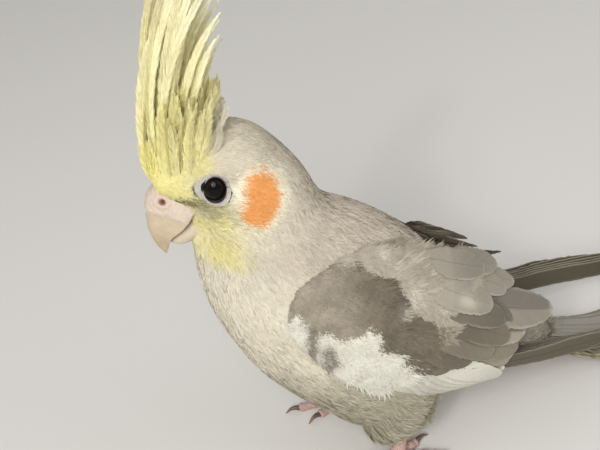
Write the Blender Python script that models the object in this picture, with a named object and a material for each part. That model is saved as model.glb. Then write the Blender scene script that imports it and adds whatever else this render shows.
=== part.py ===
"""A cockatiel standing at rest, life size, as a still museum model.

The bird faces -X, its left side is -Y and +Z is up. Every length below is in millimetres,
in a frame whose origin lies on the floor midway between the feet. MM turns them into metres,
and the last step moves the model so that its origin is the middle of its footprint.
"""

import math

import bmesh
import bpy
import numpy as np
from mathutils import Matrix, Vector

MM = 0.001
GAP = 0.3
SIDES = {"left": -1.0, "right": 1.0}

# The plumage is one soft form made of blended ellipsoids:
# x, z, half length, half width, half depth, tilt of the length above +X in degrees.
FORMS = {
    "cranium": (-22.5, 109.3, 15.5, 12.6, 12.8, 8.0),
    "face": (-30.5, 103.8, 12.0, 11.2, 11.5, 0.0),
    "nape": (-14.0, 98.0, 15.0, 13.2, 15.0, -50.0),
    "neck": (-17.6, 85.0, 17.5, 17.0, 17.0, -58.0),
    "breast": (-17.0, 66.0, 25.0, 23.5, 25.0, -62.0),
    "belly": (-7.0, 46.0, 30.0, 24.0, 23.5, -45.0),
    "abdomen": (1.0, 35.0, 24.0, 20.0, 18.5, -30.0),
    "back": (5.0, 66.0, 34.0, 23.0, 18.0, -47.0),
    "rump": (27.0, 40.0, 26.0, 16.0, 13.5, -42.0),
    "vent": (26.0, 26.0, 24.0, 12.0, 10.0, -25.0),
    "undertail": (46.0, 20.5, 20.0, 8.0, 5.5, -22.0),
}
BLEND = 3.2

# Stations of the spine from tail to throat: x, z, direction of travel in degrees.
TRUNK = [
    (64.0, 13.5, 155.0),
    (52.0, 19.5, 150.0),
    (40.0, 27.0, 146.0),
    (28.0, 37.0, 140.0),
    (14.0, 50.0, 137.0),
    (0.0, 62.0, 133.0),
    (-10.0, 75.0, 122.0),
    (-16.0, 87.0, 113.0),
]
# The head's sections fan about a point just under the bill, from the nape to the bill's base.
THROAT = (-38.3, 87.6)
FAN_FROM, FAN_TO = 24.0, 101.0
FAN_REACH = [21.0, 20.8, 20.2, 19.4, 18.3, 17.2, 16.0, 14.9, 14.0]

TAIL_CUT, NECK_CUT, HEAD_CUT = 1.7, 5.6, 7.5
AROUND = 22

EYE_RADIUS = 4.1
EYE_PROUD = 0.75
EYE_SIGHT = (-25.3, 110.1)
EYE_AIM = (-0.20, 1.0, 0.06)
LID_RADIUS, LID_THICK = 3.35, 0.75

FOOT_Y, SOLE_Z = 17.5, 0.0
FOOT_X = {"left": 1.0, "right": -4.0}
TOE_RADIUS, TARSUS_RADIUS = 1.9, 2.0
CLAW_LENGTH, CLAW_RADIUS = 5.6, 0.95
# Toes: length and heading in degrees, 0 straight ahead, turned outwards.
TOES = ((12.5, -20.0), (17.5, 8.0), (13.5, 158.0), (9.0, 202.0))
THIGH_FLOOR = 8.5


def material(name, colour, roughness, metallic=0.0):
    made = bpy.data.materials.new(name)
    made.use_nodes = True
    shader = made.node_tree.nodes["Principled BSDF"]
    shader.inputs["Base Color"].default_value = (*colour, 1.0)
    shader.inputs["Roughness"].default_value = roughness
    shader.inputs["Metallic"].default_value = metallic
    made.diffuse_color = (*colour, 1.0)
    return made


def clear_scene():
    for thing in list(bpy.data.objects):
        bpy.data.objects.remove(thing, do_unlink=True)
    bird = bpy.data.collections.new("cockatiel")
    tools = bpy.data.collections.new("cutters")
    for group in (bird, tools):
        bpy.context.scene.collection.children.link(group)
    return bird, tools


# Form of the plumage


def field(points):
    """Signed distance, in mm, of the blended ellipsoids: negative inside."""
    total = 0.0
    for x, z, along, wide, deep, tilt in FORMS.values():
        turn = math.radians(tilt)
        dx, dz = points[..., 0] - x, points[..., 2] - z
        u = dx * math.cos(turn) + dz * math.sin(turn)
        w = dz * math.cos(turn) - dx * math.sin(turn)
        v = points[..., 1]
        size = np.sqrt((u / along) ** 2 + (v / wide) ** 2 + (w / deep) ** 2) + 1e-9
        slope = np.sqrt((u / along**2) ** 2 + (v / wide**2) ** 2 + (w / deep**2) ** 2) + 1e-9
        total = total + np.exp(-np.clip(size * (size - 1.0) / slope, -40.0, 60.0) / BLEND)
    return -BLEND * np.log(total)


def fan(places):
    """Stations of the head, turned about the throat: x, z, direction of travel."""
    part = (np.asarray(places, float) - len(TRUNK)) / (len(FAN_REACH) - 1)
    turn = FAN_FROM + (FAN_TO - FAN_FROM) * part
    reach = np.interp(part, np.linspace(0.0, 1.0, len(FAN_REACH)), FAN_REACH)
    a = np.radians(turn)
    return np.stack([THROAT[0] + reach * np.cos(a), THROAT[1] + reach * np.sin(a), turn + 90.0], -1)


LAST = len(TRUNK) + len(FAN_REACH) - 1
STATIONS = np.concatenate([TRUNK, fan(np.arange(len(TRUNK), LAST + 1))])


def spine(places):
    """A smooth curve through the trunk's stations, then the head's fan; a place is a station
    number, fractions allowed."""
    u = np.clip(np.asarray(places, float), 0.0, LAST)
    i = np.clip(np.floor(u).astype(int), 0, LAST - 1)
    f = (u - i)[..., None]
    p0, p1 = STATIONS[np.clip(i - 1, 0, LAST)], STATIONS[i]
    p2, p3 = STATIONS[i + 1], STATIONS[np.clip(i + 2, 0, LAST)]
    curve = 0.5 * (
        2 * p1 + (p2 - p0) * f + (2 * p0 - 5 * p1 + 4 * p2 - p3) * f**2 + (3 * p1 - p0 - 3 * p2 + p3) * f**3
    )
    return np.where((u >= len(TRUNK))[..., None], fan(u), curve)


def cast(origin, aim, level=0.0, reach=60.0):
    """Where rays from inside the form first meet its surface, grown by level."""
    steps = np.linspace(0.0, reach, 121)
    outside = np.stack([field(origin + aim * k) >= level for k in steps], -1)
    first = np.argmax(outside, -1)
    low, high = steps[np.clip(first - 1, 0, None)], steps[first]
    for _ in range(14):
        middle = (low + high) / 2
        inside = field(origin + aim * middle[..., None]) < level
        low, high = np.where(inside, middle, low), np.where(inside, high, middle)
    return origin + aim * ((low + high) / 2)[..., None]


def rings(places, shifts, around=AROUND, level=0.0):
    """Sections of the form at the places, each moved along the spine by its shift."""
    at = spine(places)
    turn = np.radians(at[:, 2])
    zero = np.zeros_like(turn)
    travel = np.stack([np.cos(turn), zero, np.sin(turn)], 1)
    dorsal = np.stack([np.sin(turn), zero, -np.cos(turn)], 1)
    origin = np.stack([at[:, 0], zero, at[:, 1]], 1) + travel * np.asarray(shifts, float)[:, None]
    angle = np.linspace(0.0, 2 * math.pi, around, endpoint=False)
    across = np.array([0.0, 1.0, 0.0])
    aim = dorsal[:, None] * np.cos(angle)[None, :, None] + across * np.sin(angle)[None, :, None]
    return cast(origin[:, None] + 0 * aim, aim, level)


# Meshes


def mesh_object(name, points, faces, group, finish):
    mesh = bpy.data.meshes.new(name)
    mesh.from_pydata([tuple(p) for p in np.asarray(points, float) * MM], [], faces)
    mesh.update()
    tidy = bmesh.new()
    tidy.from_mesh(mesh)
    bmesh.ops.recalc_face_normals(tidy, faces=tidy.faces)
    tidy.to_mesh(mesh)
    tidy.free()
    made = bpy.data.objects.new(name, mesh)
    mesh.materials.append(finish)
    group.objects.link(made)
    return made


def tube_faces(count, around, capped=True):
    faces = []
    for i in range(count - 1):
        for j in range(around):
            k = (j + 1) % around
            faces.append((i * around + j, i * around + k, (i + 1) * around + k, (i + 1) * around + j))
    if capped:
        faces.append(tuple(range(around)))
        faces.append(tuple((count - 1) * around + j for j in reversed(range(around))))
    return faces


def tube(name, sections, group, finish):
    """A closed body through sections of equal point count."""
    sections = np.asarray(sections, float)
    count, around = sections.shape[:2]
    return mesh_object(name, sections.reshape(-1, 3), tube_faces(count, around), group, finish)


def body_length(name, first, last, count, group, finish):
    """One length of the body, its cut ends drawn back by half the gap."""
    places = np.linspace(first, last, count)
    shifts = np.zeros(count)
    shifts[0] = GAP / 2
    shifts[-1] = -GAP / 2 if last < LAST else 0.0
    return tube(name, rings(places, shifts), group, finish)


def ball(name, centre, radii, tilt, group, finish, segments=16, levels=10):
    shape = bmesh.new()
    bmesh.ops.create_uvsphere(shape, u_segments=segments, v_segments=levels, radius=1.0)
    turn = Matrix.Rotation(-math.radians(tilt), 4, "Y")
    place = Matrix.Translation(Vector(centre) * MM) @ turn @ Matrix.Diagonal((*[r * MM for r in radii], 1.0))
    bmesh.ops.transform(shape, matrix=place, verts=shape.verts)
    mesh = bpy.data.meshes.new(name)
    shape.to_mesh(mesh)
    shape.free()
    mesh.materials.append(finish)
    made = bpy.data.objects.new(name, mesh)
    group.objects.link(made)
    return made


def bevelled_curve(name, points, radii, group, finish, resolution=2):
    """A tapered tube along the points, as a welded mesh."""
    curve = bpy.data.curves.new(name, "CURVE")
    curve.dimensions = "3D"
    curve.bevel_depth = MM
    curve.bevel_resolution = resolution
    curve.use_fill_caps = True
    line = curve.splines.new("POLY")
    line.points.add(len(points) - 1)
    for knot, place, radius in zip(line.points, points, radii):
        knot.co = (*[c * MM for c in place], 1.0)
        knot.radius = radius
    guide = bpy.data.objects.new(name + "_guide", curve)
    group.objects.link(guide)
    graph = bpy.context.evaluated_depsgraph_get()
    mesh = bpy.data.meshes.new_from_object(guide.evaluated_get(graph))
    bpy.data.objects.remove(guide, do_unlink=True)
    weld = bmesh.new()
    weld.from_mesh(mesh)
    bmesh.ops.remove_doubles(weld, verts=weld.verts, dist=0.00001)
    bmesh.ops.recalc_face_normals(weld, faces=weld.faces)
    weld.to_mesh(mesh)
    weld.free()
    mesh.materials.clear()
    mesh.materials.append(finish)
    made = bpy.data.objects.new(name, mesh)
    group.objects.link(made)
    return made


def keep_largest(thing):
    """Drops every closed surface but the one that holds the most."""
    shape = bmesh.new()
    shape.from_mesh(thing.data)
    left, islands = set(shape.faces), []
    while left:
        front = [left.pop()]
        island = set(front)
        while front:
            edges = [edge for edge in front.pop().edges if len(edge.link_faces) == 2]
            near = {other for edge in edges for other in edge.link_faces if other in left}
            left -= near
            island |= near
            front.extend(near)
        islands.append(island)

    def volume(island):
        total = 0.0
        for face in island:
            a = face.verts[0].co
            for b, c in zip(face.verts[1:-1], face.verts[2:]):
                total += a.dot(b.co.cross(c.co))
        return abs(total)

    islands.sort(key=volume, reverse=True)
    spare = [face for island in islands[1:] for face in island]
    if spare:
        bmesh.ops.delete(shape, geom=spare, context="FACES")
        shape.to_mesh(thing.data)
    shape.free()


def apply_modifiers(thing):
    bpy.context.view_layer.update()
    graph = bpy.context.evaluated_depsgraph_get()
    mesh = bpy.data.meshes.new_from_object(thing.evaluated_get(graph))
    thing.modifiers.clear()
    thing.data = mesh


def boolean(thing, others, operation, solver="EXACT"):
    """Joins others to thing, or cuts them from it, in one Boolean on a collection."""
    operands = bpy.data.collections.new(thing.name + "_operands")
    bpy.context.scene.collection.children.link(operands)
    for other in others:
        for group in list(other.users_collection):
            group.objects.unlink(other)
        operands.objects.link(other)
    cut = thing.modifiers.new(operation.lower(), "BOOLEAN")
    cut.operation = operation
    cut.operand_type = "COLLECTION"
    cut.collection = operands
    cut.solver = solver
    apply_modifiers(thing)
    for other in list(operands.objects):
        bpy.data.objects.remove(other, do_unlink=True)
    bpy.data.collections.remove(operands)
    keep_largest(thing)
    return thing


def slice_off(thing, point, normal):
    """Removes what lies past a plane, on the side its normal points to, and closes the cut."""
    shape = bmesh.new()
    shape.from_mesh(thing.data)
    everything = shape.verts[:] + shape.edges[:] + shape.faces[:]
    bmesh.ops.bisect_plane(
        shape,
        geom=everything,
        dist=1e-7,
        plane_co=Vector(point) * MM,
        plane_no=Vector(normal),
        clear_outer=True,
    )
    rim = [edge for edge in shape.edges if edge.is_boundary]
    bmesh.ops.holes_fill(shape, edges=rim)
    bmesh.ops.recalc_face_normals(shape, faces=shape.faces)
    shape.to_mesh(thing.data)
    shape.free()


def smooth(thing, angle=50.0):
    thing.data.shade_smooth()
    thing.data.set_sharp_from_angle(angle=math.radians(angle))


def bezier(points, t):
    p = [np.asarray(q, float) for q in points]
    t = np.asarray(t, float)[..., None]
    return p[0] * (1 - t) ** 3 + 3 * p[1] * t * (1 - t) ** 2 + 3 * p[2] * t**2 * (1 - t) + p[3] * t**3


def fade(t, start=0.0, end=1.0):
    """Smooth step from 0 at start to 1 at end."""
    u = np.clip((np.asarray(t, float) - start) / (end - start), 0.0, 1.0)
    return u * u * (3 - 2 * u)


# Head


def eye_place(side):
    """Centre of the eyeball and the direction it looks."""
    aim = np.array([EYE_AIM[0], SIDES[side] * EYE_AIM[1], EYE_AIM[2]])
    aim /= np.linalg.norm(aim)
    start = np.array([EYE_SIGHT[0], 0.0, EYE_SIGHT[1]])
    skin = cast(start, aim)
    return skin - aim * (EYE_RADIUS - EYE_PROUD), aim


def lid(side, group, finish):
    """A ring of skin round the eye, on the surface of the head."""
    centre, aim = eye_place(side)
    ring_at = centre + aim * math.sqrt(EYE_RADIUS**2 - (LID_RADIUS - 0.3) ** 2)
    shape = bpy.data.meshes.new("lid_" + side)
    major, minor = 14, 6
    turn = Vector((0, 0, 1)).rotation_difference(Vector(aim)).to_matrix()
    points, faces = [], []
    for i in range(major):
        a = 2 * math.pi * i / major
        for j in range(minor):
            b = 2 * math.pi * j / minor
            out = LID_RADIUS + LID_THICK * math.cos(b)
            local = Vector((out * math.cos(a), out * math.sin(a), LID_THICK * math.sin(b)))
            points.append(tuple(turn @ local + Vector(ring_at)))
            k, m = (i + 1) % major, (j + 1) % minor
            faces.append((i * minor + j, k * minor + j, k * minor + m, i * minor + m))
    bpy.data.meshes.remove(shape)
    return mesh_object("lid_" + side, points, faces, group, finish)


def make_head(group, finish):
    head = body_length("head", HEAD_CUT, LAST, 20, group, finish)
    boolean(head, [lid(side, group, finish) for side in SIDES], "UNION")
    sockets = []
    for side in SIDES:
        centre, _ = eye_place(side)
        reach = EYE_RADIUS + GAP
        sockets.append(ball("socket_" + side, centre, (reach,) * 3, 0, group, finish, 20, 12))
    boolean(head, sockets, "DIFFERENCE")
    smooth(head)


def make_eyes(group, finish):
    for side in SIDES:
        centre, _ = eye_place(side)
        eye = ball("eye_" + side, centre, (EYE_RADIUS,) * 3, 0, group, finish, 16, 10)
        smooth(eye, 180)


# Bill: outlines in the XZ plane from the base to the tip

CULMEN = (22.9, (-48.2, 111.4), (-50.8, 101.5), (-45.7, 90.0))
TOMIUM = (12.6, (-43.2, 99.4), (-43.9, 96.2), (-45.4, 90.4))
LOWER_TOP = (11.2, (-41.6, 98.3), (-42.6, 95.9), (-43.6, 93.2))
LOWER_KEEL = (3.6, (-40.2, 89.3), (-42.2, 89.6), (-43.7, 92.6))
BILL_HALF, LOWER_HALF = 5.3, 4.5
CERE_FROM, CERE_NORMAL = (-47.6, 0.0, 106.1), (0.38, 0.0, 0.925)
NOSTRIL_AT, NOSTRIL_RADIUS = (-43.2, 3.7, 107.6), 0.85


def face_point(height):
    """A point on the flat front of the head, measured up from the throat."""
    turn = math.radians(FAN_TO)
    ahead = GAP + 0.02
    return (
        THROAT[0] + height * math.cos(turn) - ahead * math.sin(turn),
        THROAT[1] + height * math.sin(turn) + ahead * math.cos(turn),
    )


def bill_sections(upper, lower, half, count, around, blunt):
    """Oval sections between two outlines, narrowing to the tip."""
    t = np.linspace(0.0, 1.0, count) ** 0.85
    top, bottom = bezier([face_point(upper[0]), *upper[1:]], t), bezier([face_point(lower[0]), *lower[1:]], t)
    middle, reach = (top + bottom) / 2, (top - bottom) / 2
    wide = half * (1 - t ** blunt) + 0.35
    angle = np.linspace(0.0, 2 * math.pi, around, endpoint=False)
    c, s = np.cos(angle), np.sin(angle)
    c = np.sign(c) * np.abs(c) ** 0.85
    x = middle[:, None, 0] + reach[:, None, 0] * c
    z = middle[:, None, 1] + reach[:, None, 1] * c
    y = wide[:, None] * s
    return np.stack([x, y, z], -1)


def make_bill(group, horn, skin):
    whole = bill_sections(CULMEN, TOMIUM, BILL_HALF, 14, 16, 1.9)
    upper = tube("bill_upper", whole, group, horn)
    cere = tube("cere", whole, group, skin)
    normal = np.array(CERE_NORMAL) / np.linalg.norm(CERE_NORMAL)
    slice_off(upper, np.array(CERE_FROM) - normal * GAP / 2, normal)
    slice_off(cere, np.array(CERE_FROM) + normal * GAP / 2, -normal)
    nostrils = []
    for side, sign in SIDES.items():
        x, y, z = NOSTRIL_AT
        nostrils.append(
            ball("nostril_" + side, (x, sign * (y + 0.9), z), (NOSTRIL_RADIUS, 1.4, 0.75), 0, group, skin, 8, 6)
        )
    boolean(cere, nostrils, "DIFFERENCE")
    lower = tube("bill_lower", bill_sections(LOWER_TOP, LOWER_KEEL, LOWER_HALF, 9, 14, 2.2), group, horn)
    for thing in (upper, cere, lower):
        smooth(thing)


# Crest: slender feathers standing on a pad along the forehead, the front ones longest

CREST_FEATHERS = 17
CREST_FRONT, CREST_REAR = (-43.0, 112.2), (-27.0, 119.8)
CREST_LENGTH = ((0.0, 0.12, 0.3, 0.5, 0.75, 1.0), (42.0, 58.0, 63.0, 56.0, 40.0, 25.0))
CREST_START, CREST_END = (94.0, 72.0), (45.0, 26.0)
CREST_HALF, CREST_THICK = 1.75, 0.6
CREST_ROWS = (-2.3, 0.0, 2.3, -1.1, 1.2)
CREST_PAD = ((-35.0, 0.0, 117.2), (10.2, 4.6, 4.0), 33.0)


def blade(centre, across, facing, half, thick):
    """Corners of a flat blade with four-sided sections, split alike on both faces."""
    centre, across, facing = (np.asarray(a, float) for a in (centre, across, facing))
    half, thick = np.asarray(half, float)[:, None], np.asarray(thick, float)[:, None] / 2
    left, right = centre - across * half, centre + across * half
    return np.stack([left + facing * thick, right + facing * thick, right - facing * thick, left - facing * thick], 1)


def blade_faces(count):
    faces = []
    for k in range(count - 1):
        a, b = 4 * k, 4 * k + 4
        faces += [(a, a + 1, b + 1), (a, b + 1, b)]
        faces += [(a + 3, b + 2, a + 2), (a + 3, b + 3, b + 2)]
        faces += [(a, b, b + 3), (a, b + 3, a + 3)]
        faces += [(a + 1, a + 2, b + 2), (a + 1, b + 2, b + 1)]
    e = 4 * (count - 1)
    return faces + [(0, 3, 2), (0, 2, 1), (e, e + 1, e + 2), (e, e + 2, e + 3)]


def blade_object(name, corners, group, finish):
    return mesh_object(name, corners.reshape(-1, 3), blade_faces(len(corners)), group, finish)


def crest_feather(number, draw, group, finish):
    f = number / (CREST_FEATHERS - 1)
    length = np.interp(f, *CREST_LENGTH) * draw.uniform(0.94, 1.05)
    root = np.array(CREST_FRONT) * (1 - f) + np.array(CREST_REAR) * f
    start = CREST_START[0] * (1 - f) + CREST_START[1] * f + draw.uniform(-3, 3)
    end = CREST_END[0] * (1 - f) + CREST_END[1] * f + draw.uniform(-7, 7)
    y = CREST_ROWS[number % len(CREST_ROWS)]
    u = np.array([0.0, 0.2, 0.42, 0.64, 0.84, 1.0])
    turn = np.radians(start + (end - start) * u)
    ahead = np.stack([np.cos(turn), np.zeros(6), np.sin(turn)], 1)
    step = np.diff(u, prepend=0.0)[:, None] * length
    run = np.cumsum(step * (ahead + np.roll(ahead, 1, 0)) / 2, 0)
    centre = np.array([root[0], y, root[1]]) + run
    centre[:, 1] += (0.055 * y + draw.uniform(-0.02, 0.02)) * u**1.4 * length
    face = math.radians(draw.uniform(35, 60)) * (1 if number % 2 else -1)
    level = np.stack([-np.sin(turn), np.zeros(6), np.cos(turn)], 1)
    side = np.array([0.0, 1.0, 0.0])
    across = side * math.cos(face) + level * math.sin(face)
    facing = np.cross(ahead, across)
    half = CREST_HALF * np.array([0.5, 0.85, 1.0, 0.95, 0.62, 0.14])
    thick = CREST_THICK * np.array([1.3, 1.0, 0.95, 0.9, 0.75, 0.5])
    return blade_object(f"crest_feather_{number}", blade(centre, across, facing, half, thick), group, finish)


def make_crest(group, finish):
    draw = np.random.default_rng(11)
    centre, radii, tilt = CREST_PAD
    crest = ball("crest", centre, radii, tilt, group, finish, 14, 8)
    boolean(crest, [crest_feather(k, draw, group, finish) for k in range(CREST_FEATHERS)], "UNION")
    places = np.linspace(HEAD_CUT, LAST, 20)
    shifts = np.zeros(20)
    shifts[-1] = 2.0
    hull = tube("head_grown", rings(places, shifts, level=GAP + 0.15), group, finish)
    boolean(crest, [hull], "DIFFERENCE")
    smooth(crest, 35)


# Wings lie on a curved sheet: s runs back from the bend of the wing, t runs up across it,
# and lift is the height over the sheet, which is the outer lie of the plumage

BEND = (-20.0, 66.0)
WING_DROP, TIP_DROP = 25.0, 6.0
BEND_FROM, BEND_TO = 76.0, 150.0
SHEET_S = (-5.0, 0.0, 20.0, 45.0, 72.0, 95.0, 120.0, 160.0)
SHEET_HALF = (20.0, 22.5, 28.6, 29.8, 26.5, 20.0, 17.0, 15.0)
SHEET_ROUND = (33.0, 33.0, 33.0, 31.0, 22.0, 19.0, 20.0, 22.0)
SHEET_MIDDLE = (-3.0, -3.0, -3.0, -4.0, -6.0, -8.0, -8.0, -8.0)
SPLAY = {"left": 0.0, "right": 13.0}
RAISE = {"left": 0.0, "right": -1.2}

CORE_S = (-2.0, 3.0, 9.0, 17.0, 27.0, 38.0, 49.0, 58.0, 64.0)
CORE_LOW = (4.0, -2.5, -7.5, -13.0, -17.0, -19.5, -18.5, -13.0, -5.0)
CORE_HIGH = (9.0, 15.0, 19.5, 24.0, 27.0, 26.5, 23.5, 18.5, 9.0)
CORE_THICK = (2.6, 5.0, 6.5, 7.0, 7.0, 6.6, 6.0, 4.6, 2.4)
FEATHER_THICK, TILE_SLOPE = 0.6, 0.17

# Each tier: roots and tips as (s, t) of its first and last feather through its middle ones,
# half width, height at root and over the rest.
PRIMARIES = {
    "root": ((27, -11.0), (30, -10.5), (33, -10.0), (36, -9.5), (39, -9.0), (42, -8.0)),
    "tip": ((148, -6.4), (152, -5.2), (147, -4.6), (138, -4.2), (126, -4.4), (111, -5.0)),
    "half": 4.1,
    "bow": -3.4,
}
SECONDARIES = {
    "root": ((38, -13.0), (40, -10.0), (42, -7.0), (44, -3.5), (46, 0.0), (47, 4.0), (47, 8.0), (46, 12.0), (45, 16.0), (43, 20.0)),
    "tip": ((72, -15.5), (75, -11.5), (76.5, -7.6), (76.5, -3.8), (75.5, 0.2), (80, 4.4), (89, 5.6), (82, 9.6), (74, 13.4), (68, 17.4)),
    "half": 3.9,
    "bow": -1.2,
}
COVERTS = {
    "root": ((9, 0.0), (13, -0.6), (17, -1.2), (22, -1.8), (27, -2.2), (32, -2.6), (37, -2.6), (42, -1.6)),
    "tip": ((25, -16.5), (33, -20.5), (41, -22.6), (49, -22.6), (56, -20.6), (62, -17.4), (66, -13.0), (68, -8.0)),
    "half": 3.5,
    "bow": -1.0,
}
MEDIANS = {
    "root": ((5, 8.5), (11, 9.5), (17, 10.5), (23, 11.5), (29, 13.0), (35, 15.5), (40, 19.0)),
    "tip": ((20, 1.5), (27, 1.0), (34, 1.0), (41, 2.0), (48, 4.5), (54, 8.5), (58, 13.5)),
    "half": 4.2,
    "bow": -0.6,
}


def sheet(side, s, t, lift=0.0):
    """Points on a wing's sheet, raised by lift along its outward normal."""

    def flat(s, t):
        half = np.interp(s, SHEET_S, SHEET_HALF)
        bend = np.interp(s, SHEET_S, SHEET_ROUND)
        middle = np.interp(s, SHEET_S, SHEET_MIDDLE)
        y = half * np.clip(1 - 0.65 * ((t - middle) / bend) ** 2, 0.12, 1.0)
        y = y + SPLAY[side] * fade(s, 40.0, 125.0)
        first, last = math.radians(WING_DROP), math.radians(TIP_DROP)
        rate = (first - last) / (BEND_TO - BEND_FROM)
        past = np.clip(s - BEND_FROM, 0.0, None)
        drop = first - rate * past
        x = BEND[0] + np.minimum(s, BEND_FROM) * math.cos(first) + (math.sin(first) - np.sin(drop)) / rate
        z = BEND[1] - np.minimum(s, BEND_FROM) * math.sin(first) - (np.cos(drop) - math.cos(first)) / rate
        z = z + RAISE[side] * fade(s, 20.0, 70.0) * (1 - fade(s, 88.0, 125.0))
        return np.stack([x + t * np.sin(drop), SIDES[side] * y, z + t * np.cos(drop)], -1)

    s, t = np.broadcast_arrays(np.asarray(s, float), np.asarray(t, float))
    step = 0.5
    along = flat(s + step, t) - flat(s - step, t)
    up = flat(s, t + step) - flat(s, t - step)
    out = np.cross(along, up) * -SIDES[side]
    out /= np.linalg.norm(out, axis=-1, keepdims=True)
    return flat(s, t) + out * np.asarray(lift, float)[..., None]


def core_lift(s, t):
    """Height of the wing's fleshy core: full at the shoulder, lower where feathers lie on it."""
    edge = 9.0 - 0.16 * s
    under = fade(edge - t, -2.0, 6.0)
    rear = fade(s + 0.5 * t, 40.0, 58.0)
    return 0.3 - 2.2 * under - 2.9 * rear * (1 - 0.45 * under)


def wing_core(side, group, finish):
    s = np.array(CORE_S)
    low, high, thick = np.array(CORE_LOW), np.array(CORE_HIGH), np.array(CORE_THICK)
    across = 0.5 - 0.5 * np.cos(np.linspace(0.0, math.pi, 9))
    t = low[:, None] + (high - low)[:, None] * across
    top = core_lift(s[:, None], t)
    rim = np.sqrt(np.clip(1 - (2 * across - 1) ** 2, 0.0, 1.0))
    middle = top - thick[:, None] * 0.5
    outer = sheet(side, s[:, None], t, middle + 0.5 * thick[:, None] * rim)
    inner = sheet(side, s[:, None], t[:, 1:-1], (middle - 0.5 * thick[:, None] * rim)[:, 1:-1])
    return tube("wing_" + side, np.concatenate([outer, inner[:, ::-1]], 1), group, finish)


def wing_feather(name, side, root, tip, half, bow, sunk, lifts, slope, group, finish):
    """A blade in the sheet from root to tip, its lower edge raised over the next feather."""
    u = np.array([0.0, 0.16, 0.4, 0.68, 0.9, 1.0])
    root, tip = np.array(root, float), np.array(tip, float)
    way = (tip - root) / np.linalg.norm(tip - root)
    square = np.array([-way[1], way[0]])
    middle = root + (tip - root) * u[:, None] + square * (bow * 4 * u * (1 - u))[:, None]
    wide = half * np.array([0.6, 0.9, 1.0, 0.98, 0.66, 0.2])
    lift = np.interp(u, [0.0, 0.16, 0.4, 1.0], [sunk, *lifts])
    thick = FEATHER_THICK * np.array([1.2, 1.0, 1.0, 0.95, 0.85, 0.6]) / 2
    edges = []
    for edge, face in ((-1, 1), (1, 1), (1, -1), (-1, -1)):
        at = middle + square * (edge * wide)[:, None]
        edges.append(sheet(side, at[:, 0], at[:, 1], lift - slope * edge * wide + face * thick))
    return blade_object(name, np.stack(edges, 1), group, finish)


def wing_feathers(side, group, finish):
    draw = np.random.default_rng(5)
    made = []
    tiers = (
        ("primary", PRIMARIES, 0.03, lambda k: (-3.6, (-3.2 - 0.3 * (5 - k), -3.4 - 0.85 * (5 - k), -3.4 - 0.85 * (5 - k)))),
        ("secondary", SECONDARIES, TILE_SLOPE, lambda k: (-4.4, (-2.9, -2.5, -2.3))),
        ("covert", COVERTS, TILE_SLOPE, lambda k: (-2.9, (-1.4, -1.1, -1.0))),
        ("median", MEDIANS, TILE_SLOPE, lambda k: (-1.1, (0.05, 0.15, 0.0))),
    )
    for name, tier, slope, heights in tiers:
        for k, (root, tip) in enumerate(zip(tier["root"], tier["tip"])):
            sunk, lifts = heights(k)
            tip = (tip[0] + draw.uniform(-0.8, 0.8), tip[1] + draw.uniform(-0.3, 0.3))
            made.append(
                wing_feather(
                    f"{name}_{side}_{k}", side, root, tip, tier["half"], tier["bow"], sunk, lifts, slope, group, finish
                )
            )
    return made


def make_wing(side, group, finish):
    wing = wing_core(side, group, finish)
    boolean(wing, wing_feathers(side, group, finish), "UNION")
    boolean(wing, [grown_trunk(group, finish)], "DIFFERENCE")
    smooth(wing, 35)


def grown_trunk(group, finish):
    """The trunk and tail root, swollen by the gap, as a cutter."""
    places = np.linspace(0.0, 9.0, 26)
    shifts = np.zeros(26)
    shifts[0] = -0.4
    return tube("trunk_grown", rings(places, shifts, level=GAP + 0.3), group, finish)


# Tail: twelve graduated feathers leave the root and come down to lie along the floor,
# the outer pairs lowest, each pair settling on the floor past the tips beneath it

TAIL_FROM, TAIL_FLOOR, TAIL_TOP = 44.0, 92.0, 17.0
TAIL_START = 47.0
RECTRIX_TIP = (202.0, 184.0, 169.0, 156.0, 145.0, 136.0)
RECTRIX_OFFSET = (1.7, 5.4, 6.2, 7.4, 8.7, 9.8)
RECTRIX_HALF = (5.2, 4.9, 5.2, 5.3, 5.2, 5.0)
LAYER, SETTLE = 0.85, 15.0


def tail_floor(x):
    """Height of the lowest feathers' underside."""
    return TAIL_TOP * (1 - fade(x, TAIL_FROM, TAIL_FLOOR))


def rectrix(pair, sign, group, finish):
    tip = RECTRIX_TIP[pair]
    u = np.array([0.0, 0.05, 0.11, 0.18, 0.26, 0.36, 0.55, 0.78, 0.93, 1.0])
    x = TAIL_START + (tip - TAIL_START) * u
    stack = sum(1 - fade(x, other, other + SETTLE) for other in RECTRIX_TIP[pair + 1 :]) + 0 * x
    if pair == 0 and sign > 0:
        stack = stack + 1 - fade(x, tip - 6, tip + 4) * 0.0
    squeeze = 0.35 + 0.65 * fade(x, 50.0, 76.0)
    thick = 0.6 * np.interp(u, [0, 0.8, 1], [1.0, 0.95, 0.6])
    z = tail_floor(x) + LAYER * stack * squeeze + thick / 2
    spread = 0.35 + 0.65 * fade(x, 46.0, 100.0) - 0.22 * fade(x, 110.0, 200.0)
    y = sign * RECTRIX_OFFSET[pair] * spread
    wide = RECTRIX_HALF[pair] * np.interp(u, [0, 0.12, 0.36, 0.7, 0.9, 1.0], [0.4, 0.7, 1.0, 0.92, 0.58, 0.12])
    if pair:
        wide = np.minimum(wide, np.abs(y) - 0.2)
    slope = np.gradient(z, x)
    run = np.sqrt(1 + slope**2)
    facing = np.stack([-slope / run, 0 * x, 1 / run], 1)
    across = np.tile([0.0, 1.0, 0.0], (len(x), 1))
    corners = blade(np.stack([x, y, z], 1), across, facing, wide, thick)
    return blade_object(f"rectrix_{pair}_{int(sign)}", corners, group, finish)


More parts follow.
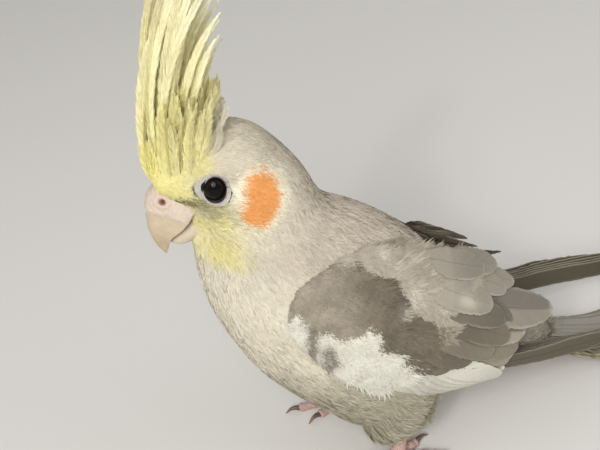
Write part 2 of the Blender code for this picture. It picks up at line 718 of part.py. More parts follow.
def tail_covert(name, start, end, half, group, finish):
    """A short blade from the root out over, or under, the feathers."""
    u = np.array([0.0, 0.35, 0.7, 0.92, 1.0])
    centre = np.array(start) * (1 - u[:, None]) + np.array(end) * u[:, None]
    centre[:, 2] += 1.6 * 4 * u * (1 - u) * (1 if end[2] > start[2] - 13 else -0.4)
    way = (centre[-1] - centre[0]) / np.linalg.norm(centre[-1] - centre[0])
    across = np.tile([0.0, 1.0, 0.0], (5, 1))
    facing = np.tile(np.cross(way, [0.0, 1.0, 0.0]), (5, 1))
    wide = half * np.array([0.6, 1.0, 0.95, 0.6, 0.2])
    corners = blade(centre, across, facing, wide, 0.6 * np.array([1.2, 1, 1, 0.9, 0.6]))
    return blade_object(name, corners, group, finish)


def make_tail(group, finish):
    tail = body_length("tail", 0.0, TAIL_CUT, 8, group, finish)
    feathers = [rectrix(pair, sign, group, finish) for pair in range(6) for sign in (-1.0, 1.0)]
    boolean(tail, feathers, "UNION")
    smooth(tail, 35)


# Legs


def make_legs(group, plume, scale, claw):
    for side, sign in SIDES.items():
        x0, y0 = FOOT_X[side], sign * FOOT_Y
        thigh = ball("thigh_" + side, (x0 + 3.5, y0 * 0.83, 20.0), (11.0, 7.5, 14.5), -20, group, plume, 16, 12)
        slice_off(thigh, (0, 0, THIGH_FLOOR), (0, 0, -1))
        boolean(thigh, [grown_trunk(group, plume)], "DIFFERENCE")
        smooth(thigh)
        ankle = (x0 + 1.0, y0, 4.2)
        top = (x0 + 2.4, y0, THIGH_FLOOR - GAP)
        shin = [top, (top[0], y0, THIGH_FLOOR - 1.4), ankle, (x0, y0, 2.6)]
        tarsus = bevelled_curve("tarsus_" + side, shin, [TARSUS_RADIUS, TARSUS_RADIUS, 2.2, 1.6], group, scale)
        toes = []
        for number, (length, heading) in enumerate(TOES, start=1):
            way = math.radians(heading)
            ahead = np.array([-math.cos(way), sign * math.sin(way), 0.0])
            reach = np.linspace(0, 1, 7)
            swell = 1 + 0.09 * np.cos(reach * 6 * math.pi)
            radius = (TOE_RADIUS - 0.45 * reach) * swell
            rise = radius - 0.35 + 0.9 * (1 - fade(reach, 0.0, 0.35))
            line = [np.array([x0, y0, 0.0]) + ahead * length * k + np.array([0, 0, h]) for k, h in zip(reach, rise)]
            toes.append(bevelled_curve(f"toe_{side}_{number}", line, radius, group, scale))
            hook = np.linspace(0, 1, 6)
            start = line[-1] + ahead * GAP
            nail = [
                start + ahead * CLAW_LENGTH * k * (1 - 0.12 * k) + np.array([0, 0, 0.75 * math.sin(math.pi * min(k * 1.1, 1)) - (line[-1][2] - 0.42) * k * k])
                for k in hook
            ]
            thin = CLAW_RADIUS * (1 - 0.78 * hook)
            bevelled_curve(f"claw_{side}_{number}", nail, thin, group, claw, 1)
        foot = tarsus
        foot.name = foot.data.name = "foot_" + side
        boolean(foot, toes, "UNION")
        shape = foot.data
        for vert in shape.vertices:
            vert.co.z = max(vert.co.z, SOLE_Z)
        smooth(foot)


def centre_footprint(group):
    """Moves every mesh so that the origin is the middle of the footprint, on the floor."""
    low, high = Vector((1e9,) * 3), Vector((-1e9,) * 3)
    for thing in group.objects:
        for vert in thing.data.vertices:
            low = Vector(map(min, low, vert.co))
            high = Vector(map(max, high, vert.co))
    middle = Vector(((low.x + high.x) / 2, (low.y + high.y) / 2, low.z))
    for thing in group.objects:
        thing.data.transform(Matrix.Translation(-middle))


def main():
    bird, _ = clear_scene()
    plume = material("grey plumage", (0.62, 0.57, 0.49), 0.85)
    quill = material("wing plumage", (0.36, 0.33, 0.29), 0.75)
    yellow = material("crest plumage", (0.86, 0.80, 0.40), 0.8)
    horn = material("horn", (0.72, 0.62, 0.52), 0.4)
    skin = material("cere skin", (0.85, 0.68, 0.62), 0.5)
    scale = material("scaly skin", (0.80, 0.56, 0.50), 0.6)
    claw = material("claw", (0.25, 0.17, 0.13), 0.35)
    eye = material("eye", (0.02, 0.015, 0.012), 0.08)
    make_head(bird, plume)
    neck = body_length("neck", NECK_CUT, HEAD_CUT, 6, bird, plume)
    torso = body_length("torso", TAIL_CUT, NECK_CUT, 20, bird, plume)
    for thing in (neck, torso):
        smooth(thing)
    make_eyes(bird, eye)
    make_bill(bird, horn, skin)
    make_crest(bird, yellow)
    for side in SIDES:
        make_wing(side, bird, quill)
    make_tail(bird, quill)
    make_legs(bird, plume, scale, claw)
    centre_footprint(bird)


main()
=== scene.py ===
# A cockatiel standing at rest. Lengths are in millimetres in the bird's own frame, which has its
# origin on the floor between the feet: the bird faces -X, its left is -Y and +Z is up.
import math

import bpy
import numpy as np
from mathutils import Matrix, Vector


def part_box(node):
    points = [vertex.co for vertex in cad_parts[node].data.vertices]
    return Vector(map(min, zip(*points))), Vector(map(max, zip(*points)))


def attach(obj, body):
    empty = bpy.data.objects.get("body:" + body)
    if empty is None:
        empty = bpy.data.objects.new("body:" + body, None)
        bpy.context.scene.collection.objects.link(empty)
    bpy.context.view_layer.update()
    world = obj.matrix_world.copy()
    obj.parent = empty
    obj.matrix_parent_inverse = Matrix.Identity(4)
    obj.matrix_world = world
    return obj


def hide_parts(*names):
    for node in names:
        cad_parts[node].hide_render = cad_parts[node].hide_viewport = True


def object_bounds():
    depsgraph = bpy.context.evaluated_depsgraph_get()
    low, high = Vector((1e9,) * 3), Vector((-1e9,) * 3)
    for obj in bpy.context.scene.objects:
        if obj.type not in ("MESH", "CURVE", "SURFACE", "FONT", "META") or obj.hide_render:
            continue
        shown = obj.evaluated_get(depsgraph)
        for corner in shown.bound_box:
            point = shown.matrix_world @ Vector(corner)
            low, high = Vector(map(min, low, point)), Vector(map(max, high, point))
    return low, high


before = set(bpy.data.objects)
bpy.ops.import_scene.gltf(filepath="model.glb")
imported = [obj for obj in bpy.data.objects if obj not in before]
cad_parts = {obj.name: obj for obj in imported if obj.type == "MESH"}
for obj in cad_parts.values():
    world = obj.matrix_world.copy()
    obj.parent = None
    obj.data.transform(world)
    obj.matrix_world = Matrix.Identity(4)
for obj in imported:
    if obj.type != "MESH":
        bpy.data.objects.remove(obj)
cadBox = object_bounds()
mm = 0.001
# from the bird's own frame to the frame's: the middle of the left eye is known in both
eyeCorners = [np.array(corner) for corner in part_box("eye_left")]
shift = (eyeCorners[0] + eyeCorners[1]) / 2 - np.array([-27.290, -9.950, 110.697]) * mm
sides = {"left": -1.0, "right": 1.0}


# Small helpers

def fade(t, start=0.0, end=1.0):
    # smooth step 3u^2 - 2u^3 with u = (t - start) / (end - start), held to 0..1
    u = np.clip((np.asarray(t, float) - start) / (end - start), 0.0, 1.0)
    return u * u * (3 - 2 * u)


def unit(v):
    # v over its length
    return v / (np.linalg.norm(v, axis=-1, keepdims=True) + 1e-12)


def mix(a, b, k):
    # a (1 - k) + b k for colours, k one number per point
    return np.asarray(a, float) * (1 - k[..., None]) + np.asarray(b, float) * k[..., None]


def waves(p, scale, seed):
    # sum of six sines of random heading, a smooth wandering value in about -1..1
    draw = np.random.default_rng(seed)
    total = 0.0
    for _ in range(6):
        way = draw.normal(size=3)
        turn = way / np.linalg.norm(way) * draw.uniform(0.6, 1.6) * 6.28 / scale
        total = total + np.sin(p @ turn + draw.uniform(0, 6.28))
    return total / 3.0


def addPiece(name, points, faces, paint=None, maps=None, smooth=True):
    # points in mm; faces a list of (k, 3) or (k, 4) index arrays; maps one (points, 2) array per name
    points = np.asarray(points, float).reshape(-1, 3) * mm + shift
    mesh = bpy.data.meshes.new(name)
    faces = [np.asarray(f, np.int64).reshape(-1, f.shape[-1]) for f in faces if len(f)]
    loops = np.concatenate([f.ravel() for f in faces])
    sizes = np.concatenate([np.full(len(f), f.shape[1]) for f in faces])
    mesh.vertices.add(len(points))
    mesh.vertices.foreach_set("co", points.astype(np.float32).ravel())
    mesh.loops.add(len(loops))
    mesh.loops.foreach_set("vertex_index", loops.astype(np.int32))
    mesh.polygons.add(len(sizes))
    mesh.polygons.foreach_set("loop_start", (np.cumsum(sizes) - sizes).astype(np.int32))
    mesh.polygons.foreach_set("use_smooth", np.full(len(sizes), smooth))
    mesh.update(calc_edges=True)
    for label, uv in (maps or {}).items():
        layer = mesh.uv_layers.new(name=label)
        layer.data.foreach_set("uv", np.asarray(uv, np.float32).reshape(-1, 2)[loops].ravel())
    if paint is not None:
        tint = mesh.attributes.new("tint", "FLOAT_COLOR", "POINT")
        rgba = np.concatenate([np.asarray(paint, float).reshape(-1, 3), np.ones((len(points), 1))], 1)
        tint.data.foreach_set("color", np.clip(rgba, 0.0, 1.0).astype(np.float32).ravel())
    mesh.validate(clean_customdata=False)
    made = bpy.data.objects.new(name, mesh)
    bpy.context.scene.collection.objects.link(made)
    return made


def gridFaces(rows, columns, start=0, wrap=False):
    # quads between neighbours of a rows x columns grid, the columns joined round when wrap is set
    i, j = np.meshgrid(np.arange(rows - 1), np.arange(columns if wrap else columns - 1), indexing="ij")
    k = (j + 1) % columns
    return (np.stack([i * columns + j, i * columns + k, (i + 1) * columns + k, (i + 1) * columns + j], -1)
            + start).reshape(-1, 4)


def capFaces(ring, centre):
    # a fan of triangles from a ring of points to one point
    ring = np.asarray(ring)
    return np.stack([ring, np.roll(ring, -1), np.full(len(ring), centre)], 1)


def closedFaces(rows, around):
    # a grid joined round, and a fan over each end to the two points that follow the grid's
    count, ring = rows * around, np.arange(around)
    return [gridFaces(rows, around, wrap=True), capFaces(ring[::-1], count),
            capFaces(ring + count - around, count + 1)]


def withEnds(rings):
    # the points of a grid of rings, then the middles of its first and last rings
    return np.concatenate([rings.reshape(-1, 3), [rings[0].mean(0)], [rings[-1].mean(0)]])


def insideOut(points, faces):
    # whether faces point inwards: the sum of a . (b x c) over them is negative
    corners = [[points[f[:, k]] for k in (0, 1, 2)] for f in faces]
    return sum(np.einsum("ij,ij->i", a, np.cross(b, c)).sum() for a, b, c in corners) < 0


class Batch:
    # gathers many small shapes into one mesh
    def __init__(self):
        self.points, self.faces, self.paint, self.maps, self.count, self.cells = [], [], [], [], 0, 0

    def nextCells(self, count, shape):
        # the next cells of a 200 x 200 grid over the map, each with its blade 0.003 across inside
        number = self.cells + np.arange(count)
        self.cells += count
        corner = (np.stack([number % 200, number // 200], -1) + 0.5) / 200
        return corner[:, None] + shape * 0.003

    def add(self, points, faces, paint, uv=None):
        points = np.asarray(points, float).reshape(-1, 3)
        self.points.append(points)
        self.faces += [np.asarray(f) + self.count for f in faces]
        self.paint.append(np.broadcast_to(np.asarray(paint, float).reshape(-1, 3), points.shape))
        self.maps.append(np.zeros((len(points), 2)) if uv is None else np.asarray(uv, float).reshape(-1, 2))
        self.count += len(points)

    def piece(self, name, label="vane"):
        quads = [f for f in self.faces if f.shape[-1] == 4]
        threes = [f for f in self.faces if f.shape[-1] == 3]
        joined = [np.concatenate([f.reshape(-1, f.shape[-1]) for f in group]) for group in (quads, threes)
                  if group]
        maps = {label: np.concatenate(self.maps)} if label else None
        return addPiece(name, np.concatenate(self.points), joined, np.concatenate(self.paint), maps)


# Shared effects, as shader node groups

def nodeGroup(name, inputs, outputs):
    group = bpy.data.node_groups.new(name, "ShaderNodeTree")
    for label, kind, value in inputs:
        socket = group.interface.new_socket(label, in_out="INPUT", socket_type=kind)
        if value is not None:
            socket.default_value = value
    for label, kind in outputs:
        group.interface.new_socket(label, in_out="OUTPUT", socket_type=kind)
    start, end = group.nodes.new("NodeGroupInput"), group.nodes.new("NodeGroupOutput")
    return group, start, end


def mathNode(tree, kind, a, b=None, clamp=False):
    node = tree.nodes.new("ShaderNodeMath")
    node.operation = kind
    node.use_clamp = clamp
    for socket, value in zip(node.inputs, (a, b)):
        if value is None:
            continue
        if isinstance(value, (int, float)):
            socket.default_value = value
        else:
            tree.links.new(value, socket)
    return node.outputs[0]


def noiseNode(tree, vector, scale, detail=3.0, roughness=0.55):
    node = tree.nodes.new("ShaderNodeTexNoise")
    node.inputs["Scale"].default_value = scale
    node.inputs["Detail"].default_value = detail
    node.inputs["Roughness"].default_value = roughness
    tree.links.new(vector, node.inputs["Vector"])
    return node.outputs["Fac"]


def makeBarbs():
    # Barbs of a vane: U runs along the shaft and V across it, both in mm, and a barb is a line
    # of constant U - 1.25 |V|. Gives a ridge height and a soft streak value, both about 0..1.
    group, start, end = nodeGroup(
        "barbs", [("Spacing", "NodeSocketFloat", 0.42), ("Seed", "NodeSocketFloat", 0.0)],
        [("Height", "NodeSocketFloat"), ("Streak", "NodeSocketFloat")])
    uv = group.nodes.new("ShaderNodeUVMap")
    uv.uv_map = "vane"
    split = group.nodes.new("ShaderNodeSeparateXYZ")
    group.links.new(uv.outputs[0], split.inputs[0])
    off = mathNode(group, "ABSOLUTE", split.outputs[1])
    lean = mathNode(group, "SUBTRACT", split.outputs[0], mathNode(group, "MULTIPLY", off, 1.25))
    join = group.nodes.new("ShaderNodeCombineXYZ")
    group.links.new(mathNode(group, "MULTIPLY", lean, 0.9), join.inputs[0])
    group.links.new(mathNode(group, "MULTIPLY", split.outputs[1], 0.05), join.inputs[1])
    group.links.new(start.outputs["Seed"], join.inputs[2])
    streak = noiseNode(group, join.outputs[0], 1.6, 4.0, 0.6)
    wander = mathNode(group, "MULTIPLY", streak, 0.5)
    phase = mathNode(group, "DIVIDE", mathNode(group, "ADD", lean, wander), start.outputs["Spacing"])
    ridge = mathNode(group, "ABSOLUTE", mathNode(group, "SINE", mathNode(group, "MULTIPLY", phase, math.pi)))
    group.links.new(ridge, end.inputs["Height"])
    group.links.new(streak, end.inputs["Streak"])
    return group


def makeMottle():
    # Soft cloudy unevenness of plumage over Object coordinates, about 0..1, at two sizes.
    group, start, end = nodeGroup("mottle", [("Coarse", "NodeSocketFloat", 90.0),
                                             ("Fine", "NodeSocketFloat", 700.0)],
                                  [("Cloud", "NodeSocketFloat"), ("Grain", "NodeSocketFloat")])
    where = group.nodes.new("ShaderNodeTexCoord")
    for source, output in (("Coarse", "Cloud"), ("Fine", "Grain")):
        noise = group.nodes.new("ShaderNodeTexNoise")
        noise.inputs["Detail"].default_value = 3.0
        group.links.new(where.outputs["Object"], noise.inputs["Vector"])
        group.links.new(start.outputs[source], noise.inputs["Scale"])
        group.links.new(noise.outputs["Fac"], end.inputs[output])
    return group


def makeGranules():
    # Small round scales on skin: raised cells with dark lines between them.
    group, start, end = nodeGroup("granules", [("Scale", "NodeSocketFloat", 1500.0)],
                                  [("Height", "NodeSocketFloat"), ("Line", "NodeSocketFloat")])
    where = group.nodes.new("ShaderNodeTexCoord")
    cell = group.nodes.new("ShaderNodeTexVoronoi")
    cell.feature = "DISTANCE_TO_EDGE"
    group.links.new(where.outputs["Object"], cell.inputs["Vector"])
    group.links.new(start.outputs["Scale"], cell.inputs["Scale"])
    rise = mathNode(group, "MULTIPLY", cell.outputs["Distance"], 3.2, clamp=True)
    group.links.new(rise, end.inputs["Height"])
    gap = mathNode(group, "MULTIPLY", cell.outputs["Distance"], 7.0)
    group.links.new(mathNode(group, "SUBTRACT", 1.0, gap, clamp=True), end.inputs["Line"])
    return group


barbs, mottle, granules = makeBarbs(), makeMottle(), makeGranules()


def newMaterial(name, roughness=0.6):
    made = bpy.data.materials.new(name)
    made.use_nodes = True
    tree = made.node_tree
    shader = tree.nodes["Principled BSDF"]
    shader.inputs["Roughness"].default_value = roughness
    return made, tree, shader


def useGroup(tree, group, **values):
    node = tree.nodes.new("ShaderNodeGroup")
    node.node_tree = group
    for label, value in values.items():
        node.inputs[label].default_value = value
    return node.outputs


def colourBy(tree, base, amount, dark, light):
    # base colour times a grey that runs from dark to light as amount goes 0..1
    ramp = tree.nodes.new("ShaderNodeMapRange")
    ramp.inputs["To Min"].default_value = dark
    ramp.inputs["To Max"].default_value = light
    tree.links.new(amount, ramp.inputs["Value"])
    scale = tree.nodes.new("ShaderNodeVectorMath")
    scale.operation = "SCALE"
    tree.links.new(base, scale.inputs[0])
    tree.links.new(ramp.outputs[0], scale.inputs["Scale"])
    return scale.outputs[0]


def blendColour(tree, amount, a, b):
    node = tree.nodes.new("ShaderNodeMix")
    node.data_type = "RGBA"
    for socket, value in ((node.inputs[0], amount), (node.inputs[6], a), (node.inputs[7], b)):
        if isinstance(value, tuple):
            socket.default_value = (*value, 1.0)
        elif isinstance(value, float):
            socket.default_value = value
        else:
            tree.links.new(value, socket)
    return node.outputs[2]


def bumpTo(tree, shader, height, strength, distance):
    bump = tree.nodes.new("ShaderNodeBump")
    bump.inputs["Strength"].default_value = strength
    bump.inputs["Distance"].default_value = distance
    tree.links.new(height, bump.inputs["Height"])
    tree.links.new(bump.outputs[0], shader.inputs["Normal"])


def tintNode(tree):
    node = tree.nodes.new("ShaderNodeAttribute")
    node.attribute_name = "tint"
    return node.outputs["Color"]


def plumeMaterial(name, roughness=0.85):
    # the marking's colour, uneven by the mottle
    made, tree, shader = newMaterial(name, roughness)
    soft = useGroup(tree, mottle)
    base = colourBy(tree, tintNode(tree), soft["Cloud"], 0.86, 1.14)
    base = colourBy(tree, base, soft["Grain"], 0.84, 1.16)
    tree.links.new(base, shader.inputs["Base Color"])
    shader.inputs["Specular IOR Level"].default_value = 0.25
    return made


def vaneMaterial(name, roughness, spacing, strength, dark=0.8, light=1.18):
    # the feather's colour with its barbs as fine ridges and streaks
    made, tree, shader = newMaterial(name, roughness)
    lines = useGroup(tree, barbs, Spacing=spacing)
    base = colourBy(tree, tintNode(tree), lines["Streak"], dark, light)
    # painted shade: the colour darker in the grooves between the barbs
    base = colourBy(tree, base, lines["Height"], 0.92, 1.04)
    tree.links.new(base, shader.inputs["Base Color"])
    shader.inputs["Specular IOR Level"].default_value = 0.35
    bumpTo(tree, shader, lines["Height"], strength, 0.0001)
    return made


# Form of the plumage: ellipsoids blended into one soft surface
# x, z, half length, half width, half depth, tilt of the length in degrees, and y for a pair

form = {
    "forehead": (-34.1, 111.7, 8.8, 7.0, 6.1, -8.0),
    "cranium": (-21.6, 109.2, 12.5, 13.9, 12.4, 8.0),
    "face": (-27.4, 101.3, 10.6, 5.8, 11.4, 0.0),
    "nape": (-16.7, 98.1, 13.9, 13.5, 13.9, -50.0),
    "neck": (-18.8, 83.9, 16.8, 17.6, 17.7, -58.0),
    "breast": (-15.2, 67.1, 25.7, 23.4, 21.2, -62.0),
    "belly": (-6.1, 47.2, 29.4, 24.1, 22.3, -45.0),
    "abdomen": (3.1, 33.2, 22.2, 20.6, 19.0, -30.0),
    "back": (5.8, 63.1, 33.2, 22.0, 17.9, -47.0),
    "rump": (27.0, 40.0, 26.0, 16.0, 13.5, -42.0),
    "vent": (26.0, 26.0, 24.0, 12.0, 10.0, -25.0),
    "undertail": (46.0, 20.5, 20.0, 8.0, 5.5, -22.0),
    "flank": (3.0, 26.5, 15.5, 8.0, 11.0, -32.0, 13.5),
}
softness = 3.2
trunk = [
    (64.0, 13.5, 155.0), (52.0, 19.5, 150.0), (40.0, 27.0, 146.0), (28.0, 37.0, 140.0),
    (14.0, 50.0, 137.0), (0.0, 62.0, 133.0), (-10.0, 75.0, 122.0), (-16.0, 87.0, 113.0),
]
throat = (-38.3, 87.6)
fanReach = [21.0, 20.8, 20.2, 19.8, 19.5, 20.0, 21.0, 22.5, 23.4]


def field(p):
    # signed distance: -k log sum exp(-d/k) over the ellipsoids, d = r (r - 1) / |grad r|; before
    # the eyes y is taken 1.24 times as large, which narrows the face
    total = 0.0
    slim = 1 + 0.24 * fade(-p[..., 0], 30.0, 37.0) * fade(p[..., 2], 92.0, 98.0)
    p = p * np.stack([np.ones_like(slim), slim, np.ones_like(slim)], -1)
    for x, z, along, wide, deep, tilt, *apart in form.values():
        turn = math.radians(tilt)
        dx, dz, v = p[..., 0] - x, p[..., 2] - z, np.abs(p[..., 1]) - apart[0] if apart else p[..., 1]
        u = dx * math.cos(turn) + dz * math.sin(turn)
        w = dz * math.cos(turn) - dx * math.sin(turn)
        size = np.sqrt((u / along) ** 2 + (v / wide) ** 2 + (w / deep) ** 2) + 1e-9
        slope = np.sqrt((u / along ** 2) ** 2 + (v / wide ** 2) ** 2 + (w / deep ** 2) ** 2) + 1e-9
        total = total + np.exp(-np.clip(size * (size - 1.0) / slope, -40.0, 60.0) / softness)
    return -softness * np.log(total)


def fieldNormal(p, h=0.1):
    # gradient of the field by central differences
    steps = np.eye(3) * h
    return unit(np.stack([field(p + s) - field(p - s) for s in steps], -1))


def fanAt(place):
    # stations turned about the throat from 24 to 100 degrees
    part = (np.asarray(place, float) - len(trunk)) / (len(fanReach) - 1)
    reach = np.interp(part, np.linspace(0, 1, len(fanReach)), fanReach)
    turn = 24.0 + 76.0 * part
    a = np.radians(turn)
    return np.stack([throat[0] + reach * np.cos(a), throat[1] + reach * np.sin(a), turn + 90.0], -1)


lastPlace = len(trunk) + len(fanReach) - 1
stations = np.concatenate([trunk, fanAt(np.arange(len(trunk), lastPlace + 1))])


def spineAt(place):
    # Catmull-Rom through the stations, then the exact fan
    u = np.clip(np.asarray(place, float), 0.0, lastPlace)
    i = np.clip(np.floor(u).astype(int), 0, lastPlace - 1)
    f = (u - i)[..., None]
    p0, p1, p2, p3 = (stations[np.clip(i + k, 0, lastPlace)] for k in (-1, 0, 1, 2))
    curve = 0.5 * (2 * p1 + (p2 - p0) * f + (2 * p0 - 5 * p1 + 4 * p2 - p3) * f ** 2
                   + (3 * p1 - p0 - 3 * p2 + p3) * f ** 3)
    return np.where((u >= len(trunk))[..., None], fanAt(u), curve)


def cast(origin, aim, level=0.0, reach=60.0):
    # first exit of rays through the surface grown by level, by steps and then halving
    steps = np.linspace(0.0, reach, 100)
    outside = np.stack([field(origin + aim * k) >= level for k in steps], -1)
    first = np.argmax(outside, -1)
    low, high = steps[np.clip(first - 1, 0, None)], steps[first]
    for _ in range(12):
        middle = (low + high) / 2
        inside = field(origin + aim * middle[..., None]) < level
        low, high = np.where(inside, middle, low), np.where(inside, high, middle)
    return origin + aim * ((low + high) / 2)[..., None]


def bodyAt(place, angle, level=0.0):
    # section at the place, ray at the angle from the back (0) by the right (pi/2) to the belly (pi)
    at = spineAt(place)
    turn = np.radians(at[..., 2])
    zero = np.zeros_like(turn)
    dorsal = np.stack([np.sin(turn), zero, -np.cos(turn)], -1)
    origin = np.stack([at[..., 0], zero, at[..., 1]], -1)
    aim = dorsal * np.cos(angle)[..., None] + np.array([0.0, 1.0, 0.0]) * np.sin(angle)[..., None]
    return cast(origin, aim, level)


# Markings, in linear colour, by place in the bird's frame

tones = {
    "breast": (0.69, 0.64, 0.525), "belly": (0.475, 0.44, 0.34), "lowBelly": (0.40, 0.37, 0.28),
    "back": (0.55, 0.49, 0.40), "nape": (0.46, 0.40, 0.31), "crown": (0.66, 0.605, 0.485),
    "rearCrown": (0.55, 0.50, 0.395), "neck": (0.60, 0.545, 0.445), "yellow": (0.70, 0.64, 0.30),
    "paleYellow": (0.74, 0.69, 0.43), "brightYellow": (0.83, 0.76, 0.34), "fringe": (0.80, 0.76, 0.60),
    "orange": (0.77, 0.345, 0.11), "lore": (0.15, 0.125, 0.04), "smear": (0.33, 0.31, 0.22),
    "tailGrey": (0.40, 0.365, 0.30), "thigh": (0.46, 0.425, 0.31),
}
patchTable = {
    # height, then the patch's middle and half length there
    "z": (95.5, 97.6, 98.6, 102.0, 105.6, 109.0, 111.2, 112.3, 114.5),
    "middle": (-19.9, -19.8, -19.7, -18.3, -17.9, -17.7, -17.4, -17.4, -17.4),
    "half": (-3.0, 1.5, 3.4, 5.7, 5.9, 5.3, 4.3, 2.0, -3.0),
}
streaks = (
    # tone, height by x, half height and amount by x
    ("smear", ((-34.0, -27.0, -20.0), (104.6, 103.2, 101.4)), 1.7,
     ((-36, -33, -27, -21, -19), (0.0, 0.6, 0.55, 0.25, 0.0))),
    ("lore", ((-42.0, -38.5, -34.2, -31.0), (108.1, 107.6, 107.0, 105.8)), 1.1,
     ((-43.5, -41.0, -38.0, -34.0, -31.0, -29.0), (0.5, 0.95, 1.0, 1.0, 0.6, 0.0))),
)


def patchShape(p):
    # distance outside the cheek patch: |x - middle(z)| - half(z), made a little uneven
    middle, half = (np.interp(p[..., 2], patchTable["z"], patchTable[k]) for k in ("middle", "half"))
    d = np.abs(p[..., 0] - middle) - half + 0.45 * waves(p, 3.5, 3)
    outside = np.abs(p[..., 1]) > 4.0
    return (1 - fade(d, -0.4, 0.5)) * outside, (1 - fade(d, 0.6, 4.2)) * outside


def marking(p):
    # colours laid over one another, each by smooth steps of the place
    x, y, z = p[..., 0], np.abs(p[..., 1]), p[..., 2]
    wander = waves(p, 14.0, 1)
    over = (x * 0.68 + (z - 62.0) * 0.73)          # height over the trunk's axis, to the back
    # the breast darkens through the belly to the low belly: partly the plumage's own tone, partly painted shade
    # under the body
    low = 1 - fade(z, 28.0, 66.0)
    front = mix(tones["breast"], tones["belly"], fade(low, 0.2, 0.75))
    front = mix(front, tones["lowBelly"], fade(low, 0.75, 1.0))
    back = mix(tones["back"], tones["nape"], fade(z, 88.0, 103.0))
    colour = mix(front, back, fade(over + 1.6 * wander, -3.0, 9.0))
    # sides of the neck, crown, and the pale fringe round the cheek patch
    neck = fade(z, 84.0, 94.0) * (1 - fade(z, 108.0, 116.0))
    colour = mix(colour, tones["neck"], neck * fade(x + wander, -24.0, -14.0) * (1 - fade(x, -9.0, -1.0)))
    crown = fade(z + 0.45 * x, 99.0, 108.0) * (1 - fade(x, -12.0, 1.0))
    colour = mix(colour, mix(tones["crown"], tones["rearCrown"], fade(x, -21.0, -10.0)), crown)
    patch, ring = patchShape(p)
    pale = 0.75 * (1 - fade(x + 0.35 * z, 8.0, 18.5)) * fade(z, 88.0, 96.0)
    colour = mix(colour, tones["fringe"], np.clip(ring * 0.95 + pale, 0, 1) * (1 - fade(z, 113.0, 118.0)))
    # yellow face, brightest above the bill
    face = (1 - fade(x + 0.8 * wander, -28.5, -22.5)) * fade(z + 0.8 * wander, 86.0, 89.5)
    face = face * (1 - fade(x - 0.5 * (z - 108.0), -32.5, -28.0) * fade(z, 106.0, 112.0))
    yellow = mix(tones["paleYellow"], tones["yellow"], fade(wander, -0.6, 0.5))
    yellow = mix(yellow, tones["brightYellow"], (1 - fade(x, -37.0, -30.0)) * fade(z, 106.0, 112.0))
    colour = mix(colour, yellow, face)
    # grey smear under the eye and the dark line from the bill to the eye, on the sides only
    for tone, height, wide, amount in streaks:
        dark = np.exp(-((z - np.interp(x, *height)) / wide) ** 2) * np.interp(x, *amount)
        colour = mix(colour, tones[tone], np.clip(dark, 0, 1) * (y > 3.0))
    clear = np.minimum(*(fade(outsideRing(side, p), 2.6, 4.0) for side in sides))
    colour = mix(colour, tones["orange"], patch * clear)
    tail = fade(x, 34.0, 52.0)
    return mix(colour, tones["tailGrey"], tail * fade(over, -4.0, 2.0))


# The bare bill comes out of the face along this edge: for each height, the x it starts behind
billEdge = {"z": (90.0, 93.9, 98.9, 102.6, 104.4, 106.4, 110.6),
            "x": (-37.6, -37.3, -36.1, -35.6, -37.6, -40.6, -44.5)}


def beforeEdge(p):
    # how far in front of the feathers' edge a point lies
    edge = np.interp(p[..., 2], billEdge["z"], billEdge["x"])
    return np.where((p[..., 2] > 90.5) & (p[..., 2] < 110.6), edge - p[..., 0], -9.0)


# Skin: the body's own surface, under the coat

skinSettings = {"rows": 170, "around": 104, "depth": -1.3, "dark": 0.62}


def eyeAim(side):
    # out to the side, a little ahead and up
    return unit(np.array([-0.20, sides[side] * 1.0, 0.06]))


eyeCentre = {side: np.array([-27.290, sides[side] * 9.950, 110.697]) for side in sides}


def eyeAxes(side):
    # the way the eye looks, then ahead (to the bill) and up, square to it
    aim = eyeAim(side)
    ahead = unit(np.array([-1.0, 0.0, 0.0]) - aim * -aim[0])
    up = np.cross(aim, ahead) * (-1 if side == "right" else 1)
    return aim, ahead, up * (1 if up[2] > 0 else -1)


def ringOuter(turn):
    # bare skin's reach round the eye, widest towards the bill: 5.4 + 0.95 cos - 0.1 cos 2 - 0.15 sin
    return 5.4 + 0.95 * np.cos(turn) - 0.1 * np.cos(2 * turn) - 0.15 * np.sin(turn)


def outsideRing(side, p):
    # distance of a point outside the bare ring, square to the eye's aim
    aim, ahead, up = eyeAxes(side)
    off = p - eyeCentre[side]
    a, b, deep = off @ ahead, off @ up, off @ aim
    return np.where(deep > -2.0, np.hypot(a, b) - ringOuter(np.arctan2(b, a)), 9.0)


def makeSkin():
    # points of the form at every place and angle, held in by the depth, and deeper before the
    # feathers' edge, where the bill comes out
    s = skinSettings
    rows, around = s["rows"], s["around"]
    place = np.linspace(0.0, lastPlace, rows)
    angle = np.linspace(0.0, 2 * math.pi, around, endpoint=False)
    u, v = np.meshgrid(place, angle, indexing="ij")
    points = bodyAt(u, v, s["depth"])
    points = points - fieldNormal(points) * (2.2 * fade(beforeEdge(points), -1.5, 0.8))[..., None]
    points = withEnds(points)
    # the skin's colour is the marking darkened, painted shade for the gaps between the tufts
    skin = addPiece("plumage_skin", points, closedFaces(rows, around), marking(points) * s["dark"])
    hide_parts("head", "neck", "torso")
    return skin


# Coat: thin tufts over the body, each a small fan of blades

# at three places on a blade: the part of its length, its width and how much paler it is; the darker root is
# painted shade where the tufts overlap
blade = {"step": np.array([0.0, 0.55, 1.0]), "width": np.array([0.8, 1.0, 0.0]),
         "shade": np.array([0.8, 1.0, 1.06])}


